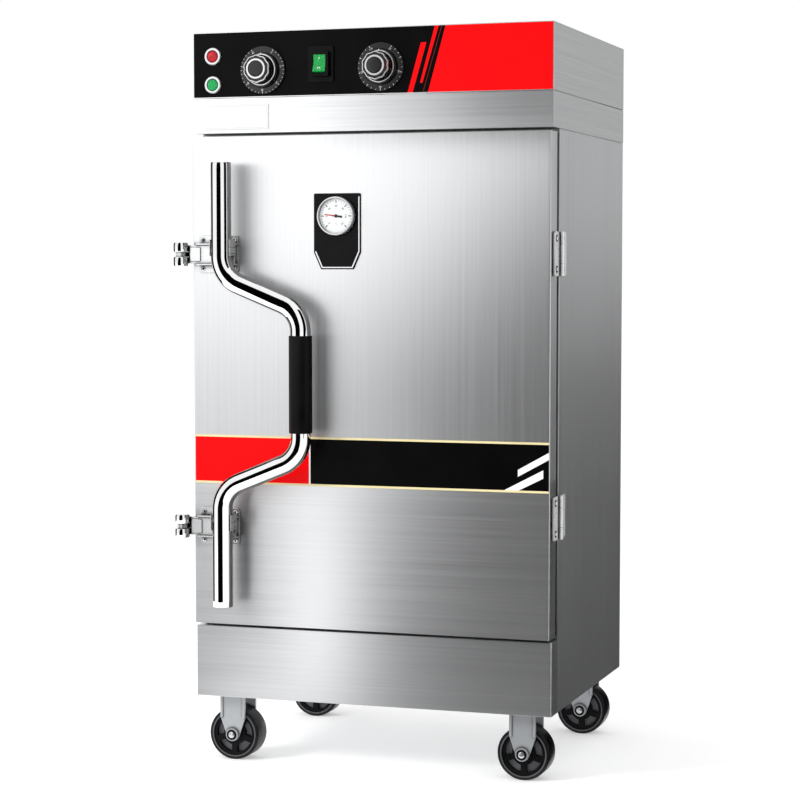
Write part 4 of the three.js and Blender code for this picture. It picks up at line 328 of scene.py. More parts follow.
# Silicone gasket, and the black lip that stands in for the shade in the door gap: a flat black line
SILICONE_AND_GAP_SHADE = moulded_plastic("silicone_gasket_and_gap_shade", 0x060607, 0x0b0b0c, 0.5, 3.0, 0.03, 0.04)
# Vinyl-dipped lever: thick rounded red
VINYL_RED = moulded_plastic("vinyl_dipped_red", 0xb81c20, 0xcc2a2c, 0.36, 4.0, 0.05)
# Enamel dial: even white behind the glass
WHITE_ENAMEL = printed_film("enamel_white_dial", 0xfdfdfd, 0xf8f9f9, 0.3, 0.2)
# Printed films of panel and door: flat strong inks under a thin gloss
FILM_BLACK = printed_film("film_black_gloss", 0x060606, 0x0a0a0b, sheen=0.05)
FILM_RED = printed_film("film_red_gloss", 0xf5080d, 0xec070c, sheen=0.06)
FILM_RED_DARK = printed_film("film_red_hairline", 0x8e2a20, 0x86261d, sheen=0.1)
FILM_WHITE = printed_film("film_white", 0xf4f4f4, 0xebebeb)
FILM_GOLD = printed_film("ink_cream_gold_line", 0xe9dcae, 0xdccd98, 0.35, 0.2)
# Inks of dial and knobs, and lacquers of needle and bare plate: duller than the films
INK_WHITE = printed_film("ink_white_print", 0xe6e6e6, 0xd8d8d8, 0.35)
INK_BLACK = printed_film("ink_black_print", 0x080808, 0x0e0e0e, 0.4, 0.2)
NEEDLE_RED = printed_film("lacquer_red_needle", 0xc01a24, 0xa8121b, 0.3)
BADGE_LACQUER = printed_film("lacquer_pale_badge", 0xe9eaeb, 0xe2e3e4, 0.4, 0.1)
# Polycarbonate lenses and rocker: deep colour with painted light caught inside, as bright facets
# and a faint glow
LENS_RED = lens_plastic("lens_red_clear", 0x8c0814, 0xc81a26)
LENS_GREEN = lens_plastic("lens_green_clear", 0x067a3a, 0x1aa85a)
ROCKER_GREEN = lens_plastic("rocker_green_clear", 0x057a30, 0x0da04a)
# Dial glass: next to invisible, with one faint reflection
GLASS = clear_glass("glass_clear_float")
# Insulation: dull yellow felt
WOOL = mineral_wool("mineral_wool_pressed")


# Mesh helpers, in millimetres

def side_faces(low, high):
    """Faces between two rings of point numbers, without the points that fall together."""
    quads = zip(low, low[1:] + low[:1], high[1:] + high[:1], high)
    return [list(dict.fromkeys(quad)) for quad in quads if len(set(quad)) > 2]


def revolved(profile, sides):
    """Points and faces of a profile of (radius, height) pairs turned about Z."""
    points, rings = [], []
    for radius, height in profile:
        turns = [2 * math.pi * i / sides for i in range(sides if radius else 1)]
        start = len(points)
        points += [(radius * math.cos(t), radius * math.sin(t), height) for t in turns]
        rings.append(list(range(start, start + sides)) if radius else [start] * sides)
    return points, [face for low, high in zip(rings, rings[1:])
                    for face in side_faces(low, high)]


def prism(outline, low, high):
    """A flat outline of (x, y) pairs drawn out along Z, from low to high."""
    points = [(x, y, z) for z in (low, high) for x, y in outline]
    bottom, top = [list(range(start, start + len(outline))) for start in (0, len(outline))]
    return points, [bottom[::-1], top] + side_faces(bottom, top)


def joined(parts):
    """Several parts as one."""
    points, faces = [], []
    for part_points, part_faces in parts:
        start = len(points)
        points += part_points
        faces += [[start + i for i in face] for face in part_faces]
    return points, faces


def rounded(x0, x1, y0, y1, radius):
    """A rectangle with round corners, counter-clockwise."""
    corners = ((x1 - radius, y0 + radius, -90), (x1 - radius, y1 - radius, 0),
               (x0 + radius, y1 - radius, 90), (x0 + radius, y0 + radius, 180))
    outline = []
    for x, y, start in corners:
        for turn in range(0, 91, 15):
            angle = math.radians(start + turn)
            outline.append((x + radius * math.cos(angle), y + radius * math.sin(angle)))
    return outline


def frame_ring(outer, inner, back, front):
    """A rectangular ring between two outlines with equal counts of points, facing front."""
    points = [(x, y, z) for line, y in ((outer, back), (outer, front), (inner, front),
                                        (inner, back)) for x, z in line]
    rings = [list(range(i * len(outer), (i + 1) * len(outer))) for i in range(4)]
    return points, [face for low, high in zip(rings, rings[1:] + rings[:1])
                    for face in side_faces(low, high)]


def swept(path, radius, sides, end_round):
    """A round tube along a path of points, with its ends closed and slightly rounded."""
    side = Vector((0, 1, 0))
    along = [(after - before).normalized()
             for before, after in zip([path[0]] + path[:-1], path[1:] + [path[-1]])]
    steps = [(0, end_round), (end_round * 0.3, end_round * 0.3), (end_round, 0)]
    stations = ([(path[0] + along[0] * inward, along[0], radius - less) for inward, less in steps]
                + [(point, way, radius) for point, way in zip(path[1:-1], along[1:-1])]
                + [(path[-1] - along[-1] * inward, along[-1], radius - less)
                   for inward, less in steps[::-1]])
    points, rings = [], []
    for centre, way, size in stations:
        first = (side - way * side.dot(way)).normalized()
        second = way.cross(first)
        rings.append(list(range(len(points), len(points) + sides)))
        turns = [2 * math.pi * i / sides for i in range(sides)]
        points += [centre + size * (math.cos(t) * first + math.sin(t) * second) for t in turns]
    faces = [face for low, high in zip(rings, rings[1:]) for face in side_faces(low, high)]
    return points, faces + [rings[0][::-1], rings[-1]]


def moved(part, matrix):
    """A part's points taken through a matrix."""
    points, faces = part
    return [matrix @ Vector(p) for p in points], faces


def at(x, y, z):
    return Matrix.Translation((x, y, z))


# Z of a part made flat is turned to face the front, the back, or either side
FACE_FRONT = Matrix.Rotation(math.radians(90), 4, "X")
FACE_BACK = Matrix.Rotation(math.radians(-90), 4, "X")
FACE_LEFT = Matrix.Rotation(math.radians(-90), 4, "Y")
FACE_RIGHT = Matrix.Rotation(math.radians(90), 4, "Y")


def shading_tree():
    """Geometry nodes that weld a CAD mesh and smooth it except across its sharp edges."""
    tree = bpy.data.node_groups.new("weld_and_smooth", "GeometryNodeTree")
    for way in ("INPUT", "OUTPUT"):
        tree.interface.new_socket("Geometry", in_out=way, socket_type="NodeSocketGeometry")
    chain = [tree.nodes.new("NodeGroupInput")]
    for kind in ("RemoveAttribute", "MergeByDistance", "SetShadeSmooth", "SetShadeSmooth"):
        chain.append(tree.nodes.new("GeometryNode" + kind))
    chain.append(tree.nodes.new("NodeGroupOutput"))
    for first, second in zip(chain, chain[1:]):
        tree.links.new(first.outputs[0], second.inputs[0])
    chain[1].inputs["Name"].default_value = "custom_normal"
    chain[2].inputs["Distance"].default_value = 1e-5
    chain[3].domain = "FACE"
    chain[4].domain = "EDGE"
    chain[4].inputs["Shade Smooth"].default_value = False
    angle = tree.nodes.new("GeometryNodeInputMeshEdgeAngle")
    sharp = tree.nodes.new("FunctionNodeCompare")
    sharp.operation = "GREATER_THAN"
    sharp.inputs[1].default_value = math.radians(34)
    tree.links.new(angle.outputs[0], sharp.inputs[0])
    tree.links.new(sharp.outputs[0], chain[4].inputs["Selection"])
    return tree


SHADING = shading_tree()
# How far printed marks stand out
PRINT_DEPTH = 0.08


def add_bevel(made, width):
    """Breaks the sharp edges, by a width in millimetres."""
    bevel = made.modifiers.new("edges", "BEVEL")
    bevel.width = width / 1000
    bevel.segments = 2
    bevel.limit_method = "ANGLE"
    bevel.angle_limit = math.radians(30)


def dress(names, finish_material, bevel=0.6):
    """CAD nodes keep their shape: welded, smoothed, their edges broken, with a new finish."""
    for name in names:
        made = NODES[name]
        made.data.materials.clear()
        made.data.materials.append(finish_material)
        made.modifiers.new("shading", "NODES").node_group = SHADING
        flat = made.modifiers.new("flats", "DECIMATE")
        flat.decimate_type = "DISSOLVE"
        flat.angle_limit = math.radians(0.3)
        if bevel:
            add_bevel(made, bevel)


def piece(name, parts, finishes, body, replaces=(), bevel=0.0, sharp=34):
    """One object from parts, each with its own finish, riding on a body."""
    if not isinstance(finishes, (list, tuple)):
        finishes = [finishes] * len(parts)
    points, faces = joined(parts)
    indexes, slots = [], []
    for (_, part_faces), finish_material in zip(parts, finishes):
        if finish_material not in slots:
            slots.append(finish_material)
        indexes += [slots.index(finish_material)] * len(part_faces)
    mesh = bpy.data.meshes.new(name)
    mesh.from_pydata([TO_FRAME @ Vector(p) for p in points], [], faces)
    for finish_material in slots:
        mesh.materials.append(finish_material)
    mesh.polygons.foreach_set("material_index", indexes)
    mesh.polygons.foreach_set("use_smooth", [True] * len(faces))
    mesh.set_sharp_from_angle(angle=math.radians(sharp))
    mesh.update()
    made = bpy.data.objects.new(name, mesh)
    bpy.context.scene.collection.objects.link(made)
    if bevel:
        add_bevel(made, bevel)
    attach(made, body)
    if replaces:
        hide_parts(*replaces)


def numerals(words, size, height):
    """Plain numerals as one part, each given as (text, x, y, turn), laid on a plane."""
    parts = []
    for text, x, y, turn in words:
        curve = bpy.data.curves.new("numeral", "FONT")
        curve.body = text
        curve.size = size
        curve.align_x = "CENTER"
        curve.align_y = "CENTER"
        curve.extrude = PRINT_DEPTH / 2
        curve.resolution_u = 2
        carrier = bpy.data.objects.new("numeral", curve)
        mesh = bpy.data.meshes.new_from_object(carrier)
        drawn = [v.co.copy() for v in mesh.vertices], [list(p.vertices) for p in mesh.polygons]
        parts.append(moved(drawn, at(x, y, height) @ Matrix.Rotation(-turn, 4, "Z")))
        bpy.data.objects.remove(carrier)
        bpy.data.curves.remove(curve)
        bpy.data.meshes.remove(mesh)
    return joined(parts)


def screw_head(radius, height):
    """A pan-head screw with a cross recess, its seat at zero."""
    sides = 24
    wide, reach = radius * 0.22, radius * 0.5
    points, faces = revolved([(0, 0), (radius, 0), (radius, height * 0.45),
                              (radius * 0.82, height * 0.86), (radius * 0.62, height)], sides)
    rim = range(len(points) - sides, len(points))
    cross = [(wide, wide), (wide, reach), (-wide, reach), (-wide, wide), (-reach, wide),
             (-reach, -wide), (-wide, -wide), (-wide, -reach), (wide, -reach), (wide, -wide),
             (reach, -wide), (reach, wide)]
    top = len(points)
    points += [(x, y, height) for x, y in cross]
    bottom = len(points)
    points += [(x * 0.7, y * 0.7, height * 0.45) for x, y in cross]
    for i in range(len(cross)):
        j = (i + 1) % len(cross)
        faces.append([top + j, top + i, bottom + i, bottom + j])
        near, last = [min(range(sides), key=lambda r: math.dist(points[rim[r]], points[c]))
                      for c in (top + i, top + j)]
        step = 1 if (last - near) % sides <= sides / 2 else -1
        while near != last:
            after = (near + step) % sides
            faces.append([top + i, rim[near], rim[after]])
            near = after
        faces.append([top + i, rim[last], top + j])
    faces.append([bottom + i for i in range(len(cross))])
    return points, faces


# Sheet pieces and castings that keep their CAD shape

dress(["outer_shell"], SATIN_UPRIGHT, 1.6)
dress(["door_outer_panel"], SATIN_DOOR, 2.8)
dress(["header_cap", "control_housing"], SATIN_HEADER, 2.0)
dress(["plinth", "base_pan"], SATIN_LEVEL, 1.6)
dress(["inner_liner", "slotted_baffle", "tray_rack_left", "tray_rack_right",
       "door_inner_panel", "float_box"], INNER_STEEL, 0.5)
dress([f"tray_{i}" for i in range(1, 9)], TRAY_STEEL, 0.4)
dress(["insulation_jacket", "door_insulation"], WOOL, 0)
dress(["door_gasket"], SILICONE_AND_GAP_SHADE, 1.5)
dress(["heating_element"], SHEATH, 0)
dress(["control_gear", "cable_gland"], BLACK_NYLON_AND_SHADE_RINGS, 0.4)
dress(["drain_valve"], BRASS, 0.5)
dress(["drain_lever"], VINYL_RED, 1.0)
dress([f"hinge_{leaf}_leaf_{end}" for leaf in ("frame", "door") for end in HINGE_LEVELS],
      HINGE_ZINC, 0.6)
dress([f"{part}_{end}" for part in ("latch_tongue", "latch_keeper") for end in LATCH_LEVELS],
      CAST_STEEL, 0.8)
dress([f"caster_fork_{corner}" for corner in WHEELS], ZINC_STEEL, 0.6)
dress(["gauge_plate"], BLACK_ABS, 0.3)


# A black strip in the gap between door and cabinet, drawn as a rubber lip: it stands in for the
# shade in the gap
SHADE_LIP = (-347.4, 347.4, 270.8, 1189.2)
SHADE_LIP_WIDTH = 6
SHADE_LIP_BACK = 43.6
SHADE_LIP_FRONT = 35.0
shade_lip_outer, shade_lip_inner = [rounded(SHADE_LIP[0] + inset, SHADE_LIP[1] - inset, SHADE_LIP[2] + inset, SHADE_LIP[3] - inset, 3)
                        for inset in (0, SHADE_LIP_WIDTH)]
piece("gap_shade_lip", [frame_ring(shade_lip_outer, shade_lip_inner, SHADE_LIP_BACK, SHADE_LIP_FRONT)], SILICONE_AND_GAP_SHADE, "door")


# Handle: one cranked tube with cut ends, a finger at each latch and a rubber sleeve

CRANK_RUN = (CRANK - 2 * BEND_RADIUS * (1 - math.cos(BEND_ANGLE))) / math.sin(BEND_ANGLE)
HANDLE_FOOT = 310
LOWER_RUN = 184.37
UPPER_RUN = 174.37
FINGER_RISE = 7
FINGER_TURN = math.radians(14.31)
SLEEVE_FOOT = 640
SLEEVE_TOP = 820


def handle_path():
    """The middle line of the tube, from its lower end to its upper one."""
    x, z, heading = HANDLE_X, HANDLE_FOOT, 0.0
    path = [(x, HANDLE_Y, z)]

    def straight(length):
        nonlocal x, z
        x += length * math.sin(heading)
        z += length * math.cos(heading)
        path.append((x, HANDLE_Y, z))

    def bend(turn, steps=18):
        nonlocal heading
        step = turn / steps
        chord = 2 * BEND_RADIUS * math.sin(abs(step) / 2)
        for _ in range(steps):
            heading += step / 2
            straight(chord)
            heading += step / 2

    straight(LOWER_RUN)
    for turn, length in ((1, CRANK_RUN), (-1, GRIP_RUN), (-1, CRANK_RUN), (1, UPPER_RUN)):
        bend(turn * BEND_ANGLE)
        straight(length)
    return path


def even(path, step):
    """The same line with its long straights cut into short steps."""
    points = [Vector(path[0])]
    for end in path[1:]:
        start, end = points[-1], Vector(end)
        count = max(1, round((end - start).length / step))
        points += [start.lerp(end, i / count) for i in range(1, count + 1)]
    return points


tube = swept(even(handle_path(), 12), TUBE_RADIUS, 48, 1.6)
finger = revolved([(0, 9.5), (3, 9.5), (3, 31), (4.2, 32.8), (5, 36.4), (4.2, 40), (2.4, 41.2),
                   (0, 41.4)], 20)
fingers = [moved(finger, at(HANDLE_X, HANDLE_Y, level + FINGER_RISE)
                 @ Matrix.Rotation(FINGER_TURN, 4, "Z") @ FACE_BACK)
           for level in LATCH_LEVELS.values()]
piece("handle_tube_dressed", [tube] + fingers, [MIRROR_STEEL] + [CAST_STEEL] * 2, "handle",
      ["handle_tube"], sharp=40)

bore = TUBE_RADIUS + 0.05
sleeve_end = [(bore, 0), (20.2, 0), (21.2, 0.5), (21.6, 1.6)]
sleeve = revolved([(radius, SLEEVE_FOOT + depth) for radius, depth in sleeve_end]
                  + [(radius, SLEEVE_TOP - depth) for radius, depth in sleeve_end[::-1]]
                  + [(bore, SLEEVE_FOOT)], 48)
piece("grip_sleeve_dressed", [moved(sleeve, at(HANDLE_X + CRANK, HANDLE_Y, 0))],
      GRIP_RUBBER, "handle", ["grip_sleeve"])


# Latch brackets: a base plate, two webs with a bridge, and a bearing that clasps the tube from
# behind and stays open at the front, slotted for the finger

# Left and right edge; then the fronts of the base plate, the bridge's back and its front
BRACKET = (-334, -255)
BRACKET_LEVELS = (-13.3, -27.9, -30.9)
BRACKET_HEIGHT = 70
BRACKET_SHEET = 3.0
BRACKET_WEBS = (17.3, 20.3)
BRIDGE_WIDTH = 40
BEARING_BORE = 19.45
BEARING_OUTSIDE = 22.1
BEARING_MOUTH = 65
BEARING_FOOT = 17
# Heights of the bearing's three layers; the middle one is slotted this far to each side
BEARING_LAYERS = (-3, 1.3, 12.7, 27)
FINGER_SLOT = 14.6


def arc(radius, first, last, steps):
    """Points round the tube's axis between two azimuths, counted from the front."""
    turns = [math.radians(first + (last - first) * i / steps) for i in range(steps + 1)]
    return [(radius * math.sin(t), -radius * math.cos(t)) for t in turns]


def bearing_half(near, side):
    """One half of the bearing and its foot, from a distance off the middle to its lip."""
    foot_turn = 180 - math.degrees(math.asin(BEARING_FOOT / BEARING_OUTSIDE))
    inner_turn = 180 - math.degrees(math.asin(near / BEARING_BORE))
    back = BRACKET_LEVELS[1] - HANDLE_Y
    outline = (arc(BEARING_OUTSIDE, BEARING_MOUTH, foot_turn, 14)
               + [(BEARING_FOOT, back), (near, back)]
               + arc(BEARING_BORE, inner_turn, BEARING_MOUTH, 20))
    outline = [(side * x, y) for x, y in outline]
    return outline if side > 0 else outline[::-1]


def latch_bracket(level):
    """The parts of one bracket: plate, webs, bridge and the bearing's layers."""
    left, right = BRACKET
    plate_front, bridge_back, bridge_front = BRACKET_LEVELS
    high = BRACKET_HEIGHT / 2
    inner, outer = BRACKET_WEBS
    parts = [moved(prism(rounded(left, right, level - high, level + high, 6), 0, BRACKET_SHEET),
                   at(0, plate_front + BRACKET_SHEET, 0) @ FACE_FRONT)]
    for x, back, low, thick in ((left, plate_front, inner, outer - inner),
                                (left, plate_front, -outer, outer - inner),
                                (right - BRIDGE_WIDTH, bridge_back, -inner, 2 * inner)):
        parts.append(moved(prism([(x, bridge_front), (right, bridge_front), (right, back),
                                  (x, back)], 0, thick), at(0, 0, level + low)))
    for number, (low, high) in enumerate(zip(BEARING_LAYERS, BEARING_LAYERS[1:])):
        near = FINGER_SLOT if number == 1 else 0.0
        parts += [moved(prism(bearing_half(near, side), low, high),
                        at(HANDLE_X, HANDLE_Y, level)) for side in (-1, 1)]
    return parts


for end, level in LATCH_LEVELS.items():
    piece(f"latch_bracket_{end}_dressed", latch_bracket(level), CAST_STEEL, "door",
          [f"latch_bracket_{end}"], bevel=0.7)


# Keeper rollers: two lobes on one neck, above and below the keeper's arm
lobe = [(13.2, 5.0), (14.0, 6.2), (14.0, 19.0), (13.0, 21.7), (10.5, 22.5), (0, 22.5)]
roller = revolved([(radius, -height) for radius, height in lobe[::-1]]
                  + [(5.0, -5.0), (5.0, 5.0)] + lobe, 40)
for end, level in LATCH_LEVELS.items():
    piece(f"keeper_roller_{end}_dressed", [moved(roller, at(ROLLER_X, ROLLER_Y, level))],
          CHROME, f"roller_{end}", [f"keeper_roller_{end}"])

# A raised pad on each tongue, where the door's edge is reached
TONGUE_FACE = -27.5
for end, level in LATCH_LEVELS.items():
    pad = prism(rounded(-346, -325, level - 13, level + 13, 2.0), 0, 2.2)
    piece(f"latch_tongue_{end}_pad", [moved(pad, at(0, TONGUE_FACE, 0) @ FACE_FRONT)], CAST_STEEL,
          f"tongue_{end}", bevel=0.8)


# Screws of the latch brackets, hinges and keepers, seated just under each plate's face

BRACKET_SEAT = -13.2
HINGE_SEAT = 352.8
KEEPER_SEAT = -353.3
HINGE_ROWS = {"door": 16, "cabinet": 64}


def screws(name, places, facing, body, radius, height):
    head = screw_head(radius, height)
    piece(name, [moved(head, at(*p) @ facing) for p in places], CHROME, body,
          sharp=30)


for end, level in LATCH_LEVELS.items():
    screws(f"latch_bracket_{end}_screws",
           [(x, BRACKET_SEAT, level + z) for x in (-326, -263) for z in (-27, 27)],
           FACE_FRONT, "door", 4.2, 2.0)
# Countersink rings in black: painted shade round the hinge screws
sink_shade = revolved([(6.4, 0), (6.4, 0.5), (5.8, 0.7), (3.4, 0.7)], 32)
for end, level in HINGE_LEVELS.items():
    holes = {body: [(HINGE_SEAT, y, level + z) for z in (-28, 28)]
             for body, y in HINGE_ROWS.items()}
    for body, leaf in (("door", "door"), ("cabinet", "frame")):
        screws(f"hinge_{end}_{leaf}_screws", holes[body], FACE_RIGHT, body, 3.6, 1.4)
    screws(f"latch_keeper_{end}_screws",
           [(KEEPER_SEAT, y, LATCH_LEVELS[end] + z) for y in (64, 86) for z in (-18, 18)],
           FACE_LEFT, "cabinet", 4.2, 2.0)
    for body, spots in holes.items():
        piece(f"hinge_{end}_{body}_sink_shades", [moved(sink_shade, at(*p) @ FACE_RIGHT) for p in spots],
              BLACK_NYLON_AND_SHADE_RINGS, body)


# Control panel: a printed film with two slashes and a red field, lamps, knobs and the switch

FILM_FACE = -0.02
ART_FACE = -0.3
FILM_LEFT = -348.5
FILM_RIGHT = 348.5
FILM_BOTTOM = 1264
FILM_TOP = 1383.5
PRINT_RISE = 0.06


def lean(x_low, z_low, x_high, z_high, z):
    """Where a leaning edge stands at a height."""
    return x_low + (x_high - x_low) * (z - z_low) / (z_high - z_low)


def front_slab(outline, back, front):
    """A flat outline of (x, z) pairs, drawn out from back to front of the panel."""
    return moved(prism(outline, 0, back - front), at(0, back, 0) @ FACE_FRONT)


# Red prints, each by its left and right edge as (x_low, z_low, x_high, z_high), then its lower and
# upper end: the field at the right, two slashes and a hairline
PRINTS = [((114, 1264, 148, 1385), (FILM_RIGHT, 0, FILM_RIGHT, 1), FILM_BOTTOM, FILM_TOP),
          ((74.8, 1263.6, 100.5, 1354.5), (84.5, 1263.6, 111, 1354.5), 1264, 1354),
          ((98.6, 1281, 127.7, 1386), (103.4, 1281, 135.1, 1386), 1281, FILM_TOP),
          ((104, 1264, 140.2, 1385), (104.8, 1264, 141, 1385), FILM_BOTTOM, FILM_TOP)]
film = front_slab(rounded(FILM_LEFT, FILM_RIGHT, FILM_BOTTOM, FILM_TOP, 1.5), FILM_FACE, ART_FACE)
prints = [front_slab([(lean(*left, low), low), (lean(*right, low), low),
                      (lean(*right, high), high), (lean(*left, high), high)],
                     ART_FACE, ART_FACE - PRINT_RISE) for left, right, low, high in PRINTS]
piece("control_panel_film", [film] + prints, [FILM_BLACK] + [FILM_RED] * 3 + [FILM_RED_DARK],
      "cabinet")

for colour, level in LAMPS.items():
    bezel = revolved([(10.6, 0), (16.6, 0), (16.6, 2.6), (15.6, 4.4), (14.0, 5.2), (12.2, 5.0),
                      (11.0, 4.0), (10.6, 2.0), (10.6, 0)], 48)
    lens = revolved([(0, 6.6), (4, 6.35), (7.5, 5.5), (9.6, 4.4), (10.5, 3.2), (10.5, 0.4),
                     (0, 0.4)], 48)
    spot = at(LAMP_X, PANEL_FACE, level) @ FACE_FRONT
    piece(f"lamp_{colour}_dressed", [moved(bezel, spot), moved(lens, spot)],
          [TRIM_STEEL, LENS_RED if colour == "red" else LENS_GREEN], "cabinet",
          [f"lamp_{colour}"], sharp=50)


def fluted(part, core, count, depth):
    """Draws the outer wall of a turned part in, count times round."""
    points = []
    for p in part[0]:
        radius, angle = math.hypot(p[0], p[1]), math.atan2(p[1], p[0])
        pull = depth * (0.5 + 0.5 * math.cos(count * angle)) if radius > core else 0.0
        share = (radius - pull) / radius if radius else 1.0
        points.append(Vector((p[0] * share, p[1] * share, p[2])))
    return points, part[1]


def ring_marks(count, first, last, near, far, width, height):
    """Radial ticks round a knob or a dial, laid on a plane."""
    tick = prism([(near, -width / 2), (far, -width / 2), (far, width / 2), (near, width / 2)],
                 height, height + PRINT_DEPTH)
    return joined([moved(tick, Matrix.Rotation(math.radians(first + (last - first) * i
                                                            / (count - 1)), 4, "Z"))
                   for i in range(count)])


def ring_numerals(texts, first, last, radius, size, height):
    """Numerals round a knob or a dial, by their angles clockwise from the top."""
    words = []
    for i, text in enumerate(texts):
        angle = math.radians(first + (last - first) * i / (len(texts) - 1))
        words.append((text, radius * math.sin(angle), radius * math.cos(angle), angle))
    return numerals(words, size, height)


# Fine and coarse marks of each scale, and its numerals
KNOB_SCALES = {"timer": (31, 7, ["0", "10", "20", "30", "40", "50", "60"]),
               "thermostat": (25, 9, ["30", "50", "70", "90", "110"])}
KNOB_SWEEP = (60, -240)
FLUTES = (19, 10, 1.3)
skirt = revolved([(0, 0), (43.4, 0), (44.5, 0.6), (44.5, 3.5), (43.9, 4.6), (43.0, 5.0), (33, 5.0)],
                 96)
step = revolved([(33, 5.0), (32.6, 12.6), (31.5, 14.0), (26, 14.0)], 96)
grip = fluted(revolved([(26.2, 13.2), (26.2, 34.2), (25.2, 36.0), (23.5, 36.6), (18.4, 36.6)], 120),
              *FLUTES)
ring = revolved([(19.0, 36.0), (19.0, 38.4), (18.4, 39.4), (16.9, 39.8), (15.3, 39.4),
                 (15.0, 38.2)], 72)
collar = revolved([(29.4, 13.9), (29.4, 14.6), (28.6, 15.2), (27.4, 15.2), (26.4, 14.4)], 96)
crown = fluted(revolved([(26.35, 33.2), (26.35, 34.4), (25.4, 36.15), (24.2, 36.5),
                         (24.0, 36.3)], 120), *FLUTES)
cap = revolved([(15.0, 38.2), (13.6, 39.4), (8, 40.5), (0, 40.9)], 72)
line = prism([(-0.9, 26.8), (0.9, 26.8), (0.9, 31.0), (-0.9, 31.0)], 13.9, 14.15)
for knob, x in KNOBS.items():
    fine, coarse, texts = KNOB_SCALES[knob]
    scale = [ring_marks(fine, *KNOB_SWEEP, 41.0, 43.2, 0.55, 4.95),
             ring_marks(coarse, *KNOB_SWEEP, 39.6, 43.2, 0.8, 4.96),
             ring_numerals(texts, 30, 330, 36.6, 4.6, 5.05)]
    spot = at(x, PANEL_FACE, KNOB_Z) @ FACE_FRONT
    piece(f"{knob}_knob_dressed",
          [moved(part, spot)
           for part in [skirt, step, grip, ring, collar, crown, cap, line] + scale],
          [BLACK_PHENOLIC] * 3 + [TRIM_STEEL] * 3 + [BLACK_PHENOLIC] + [INK_WHITE] * 4, knob,
          [f"{knob}_knob"], sharp=38)


# Power switch: a flanged frame with a green rocker, its upper end pressed in

hole = rounded(-12.6, 12.6, -17.4, 17.4, 1.0)
flange = frame_ring(rounded(-25, 25, -33, 33, 4), hole, 0, -4.0)
collar = frame_ring(rounded(-18, 18, -23, 23, 3), hole, -3.9, -13.0)
floor_pane = prism(rounded(-12.7, 12.7, -17.5, 17.5, 1.0), 0, 0.4)
spot = at(SWITCH_X, PANEL_FACE, SWITCH_Z)
piece("switch_housing_dressed",
      [moved(flange, spot), moved(collar, spot),
       moved(floor_pane, spot @ at(0, -1.0, 0) @ FACE_FRONT)],
      BLACK_ABS, "cabinet", ["switch_housing"], bevel=1.0)

ROCKER_AXIS = -4
ROCKER_WIDTH = 23.6
TILT = math.radians(8)
# Side view of the rocker as (height, depth from the panel): a hollow crest and rounded ends
crest = [(15.4 * i / 8 - 15.4, -7 - 3.0 * (i / 8 - 1) ** 2) for i in range(17)]
rocker = prism(crest + [(16.0, -9.0), (16.4, -2.0), (15.0, 2.0), (0, 2.4), (-15.0, 2.0),
                        (-16.4, -2.0), (-16.0, -9.0)], -ROCKER_WIDTH / 2, ROCKER_WIDTH / 2)
stand = Matrix(((0, 0, 1, 0), (0, 1, 0, 0), (1, 0, 0, 0), (0, 0, 0, 1)))
rocker_turn = at(SWITCH_X, ROCKER_AXIS, SWITCH_Z) @ Matrix.Rotation(-TILT, 4, "X")
bar = prism(rounded(-0.7, 0.7, -3.0, 3.0, 0.6), 0, 0.12)
circle = revolved([(1.9, 0), (1.9, 0.12), (2.9, 0.12), (2.9, 0)], 32)
marks = [moved(mark, rocker_turn @ at(0, -8.6, side * 10.2)
               @ Matrix.Rotation(math.radians(-14 * side), 4, "X") @ FACE_FRONT)
         for side, mark in ((1, bar), (-1, circle))]
piece("switch_rocker_dressed", [moved(rocker, rocker_turn @ stand)] + marks,
      [ROCKER_GREEN] + [INK_WHITE] * 2, "rocker", ["switch_rocker"], sharp=36)


# Thermometer: a case with a bright rim, a white dial with its scale, needle and flat glass

SCALE = (225, -45)
NEEDLE_ANGLE = math.radians(172)
NEEDLE_FACE = -18.4
LENS_BACK = -21.6
gauge_spot = at(GAUGE_X, GAUGE_BACK, GAUGE_Z) @ FACE_FRONT
case = revolved([(0, 0), (34.6, 0), (36, 0.8), (36, 11.0), (35.5, 12.3), (34.4, 13.0), (33.2, 12.9),
                 (32.2, 12.0), (32, 11.0), (32, 6.0)], 96)
dial = revolved([(32, 6.0), (0, 6.0)], 96)
scale = [ring_marks(25, *SCALE, 26.8, 29.4, 0.5, 6.02),
         ring_marks(7, *SCALE, 23.4, 29.4, 1.5, 6.04),
         ring_numerals(["0", "20", "40", "60", "80", "100", "120"], -135, 135, 18.6, 5.6, 6.08),
         numerals([("°C", 0, -14.5, 0)], 5.0, 6.08)]
piece("gauge_case_dressed", [moved(part, gauge_spot) for part in [case, dial] + scale],
      [TRIM_STEEL, WHITE_ENAMEL] + [INK_BLACK] * 4, "door", ["gauge_case"], sharp=50)

blade = prism([(-2, -1.5), (-2, 1.5), (21.5, 0.8), (23.4, 0), (21.5, -0.8)], 0, 0.5)
tail = prism([(-12, -2.0), (-12, 2.0), (-1, 1.5), (-1, -1.5)], 0, 0.5)
needle_hub = revolved([(3.2, 0), (3.2, 1.1), (2.7, 1.6), (0, 1.7)], 32)
needle_spot = at(GAUGE_X, NEEDLE_FACE, GAUGE_Z) @ FACE_FRONT
lying = needle_spot @ at(0, 0, 0.5) @ Matrix.Rotation(NEEDLE_ANGLE, 4, "Z")
piece("gauge_needle_dressed",
      [moved(blade, lying), moved(tail, lying), moved(needle_hub, needle_spot)],
      [NEEDLE_RED, INK_BLACK, INK_BLACK], "needle", ["gauge_needle"], sharp=40)
pane = revolved([(0, 0), (31.7, 0), (31.7, 1.5), (0, 1.5)], 96)
piece("gauge_lens_dressed", [moved(pane, at(GAUGE_X, LENS_BACK, GAUGE_Z) @ FACE_FRONT)], GLASS,
      "door", ["gauge_lens"])

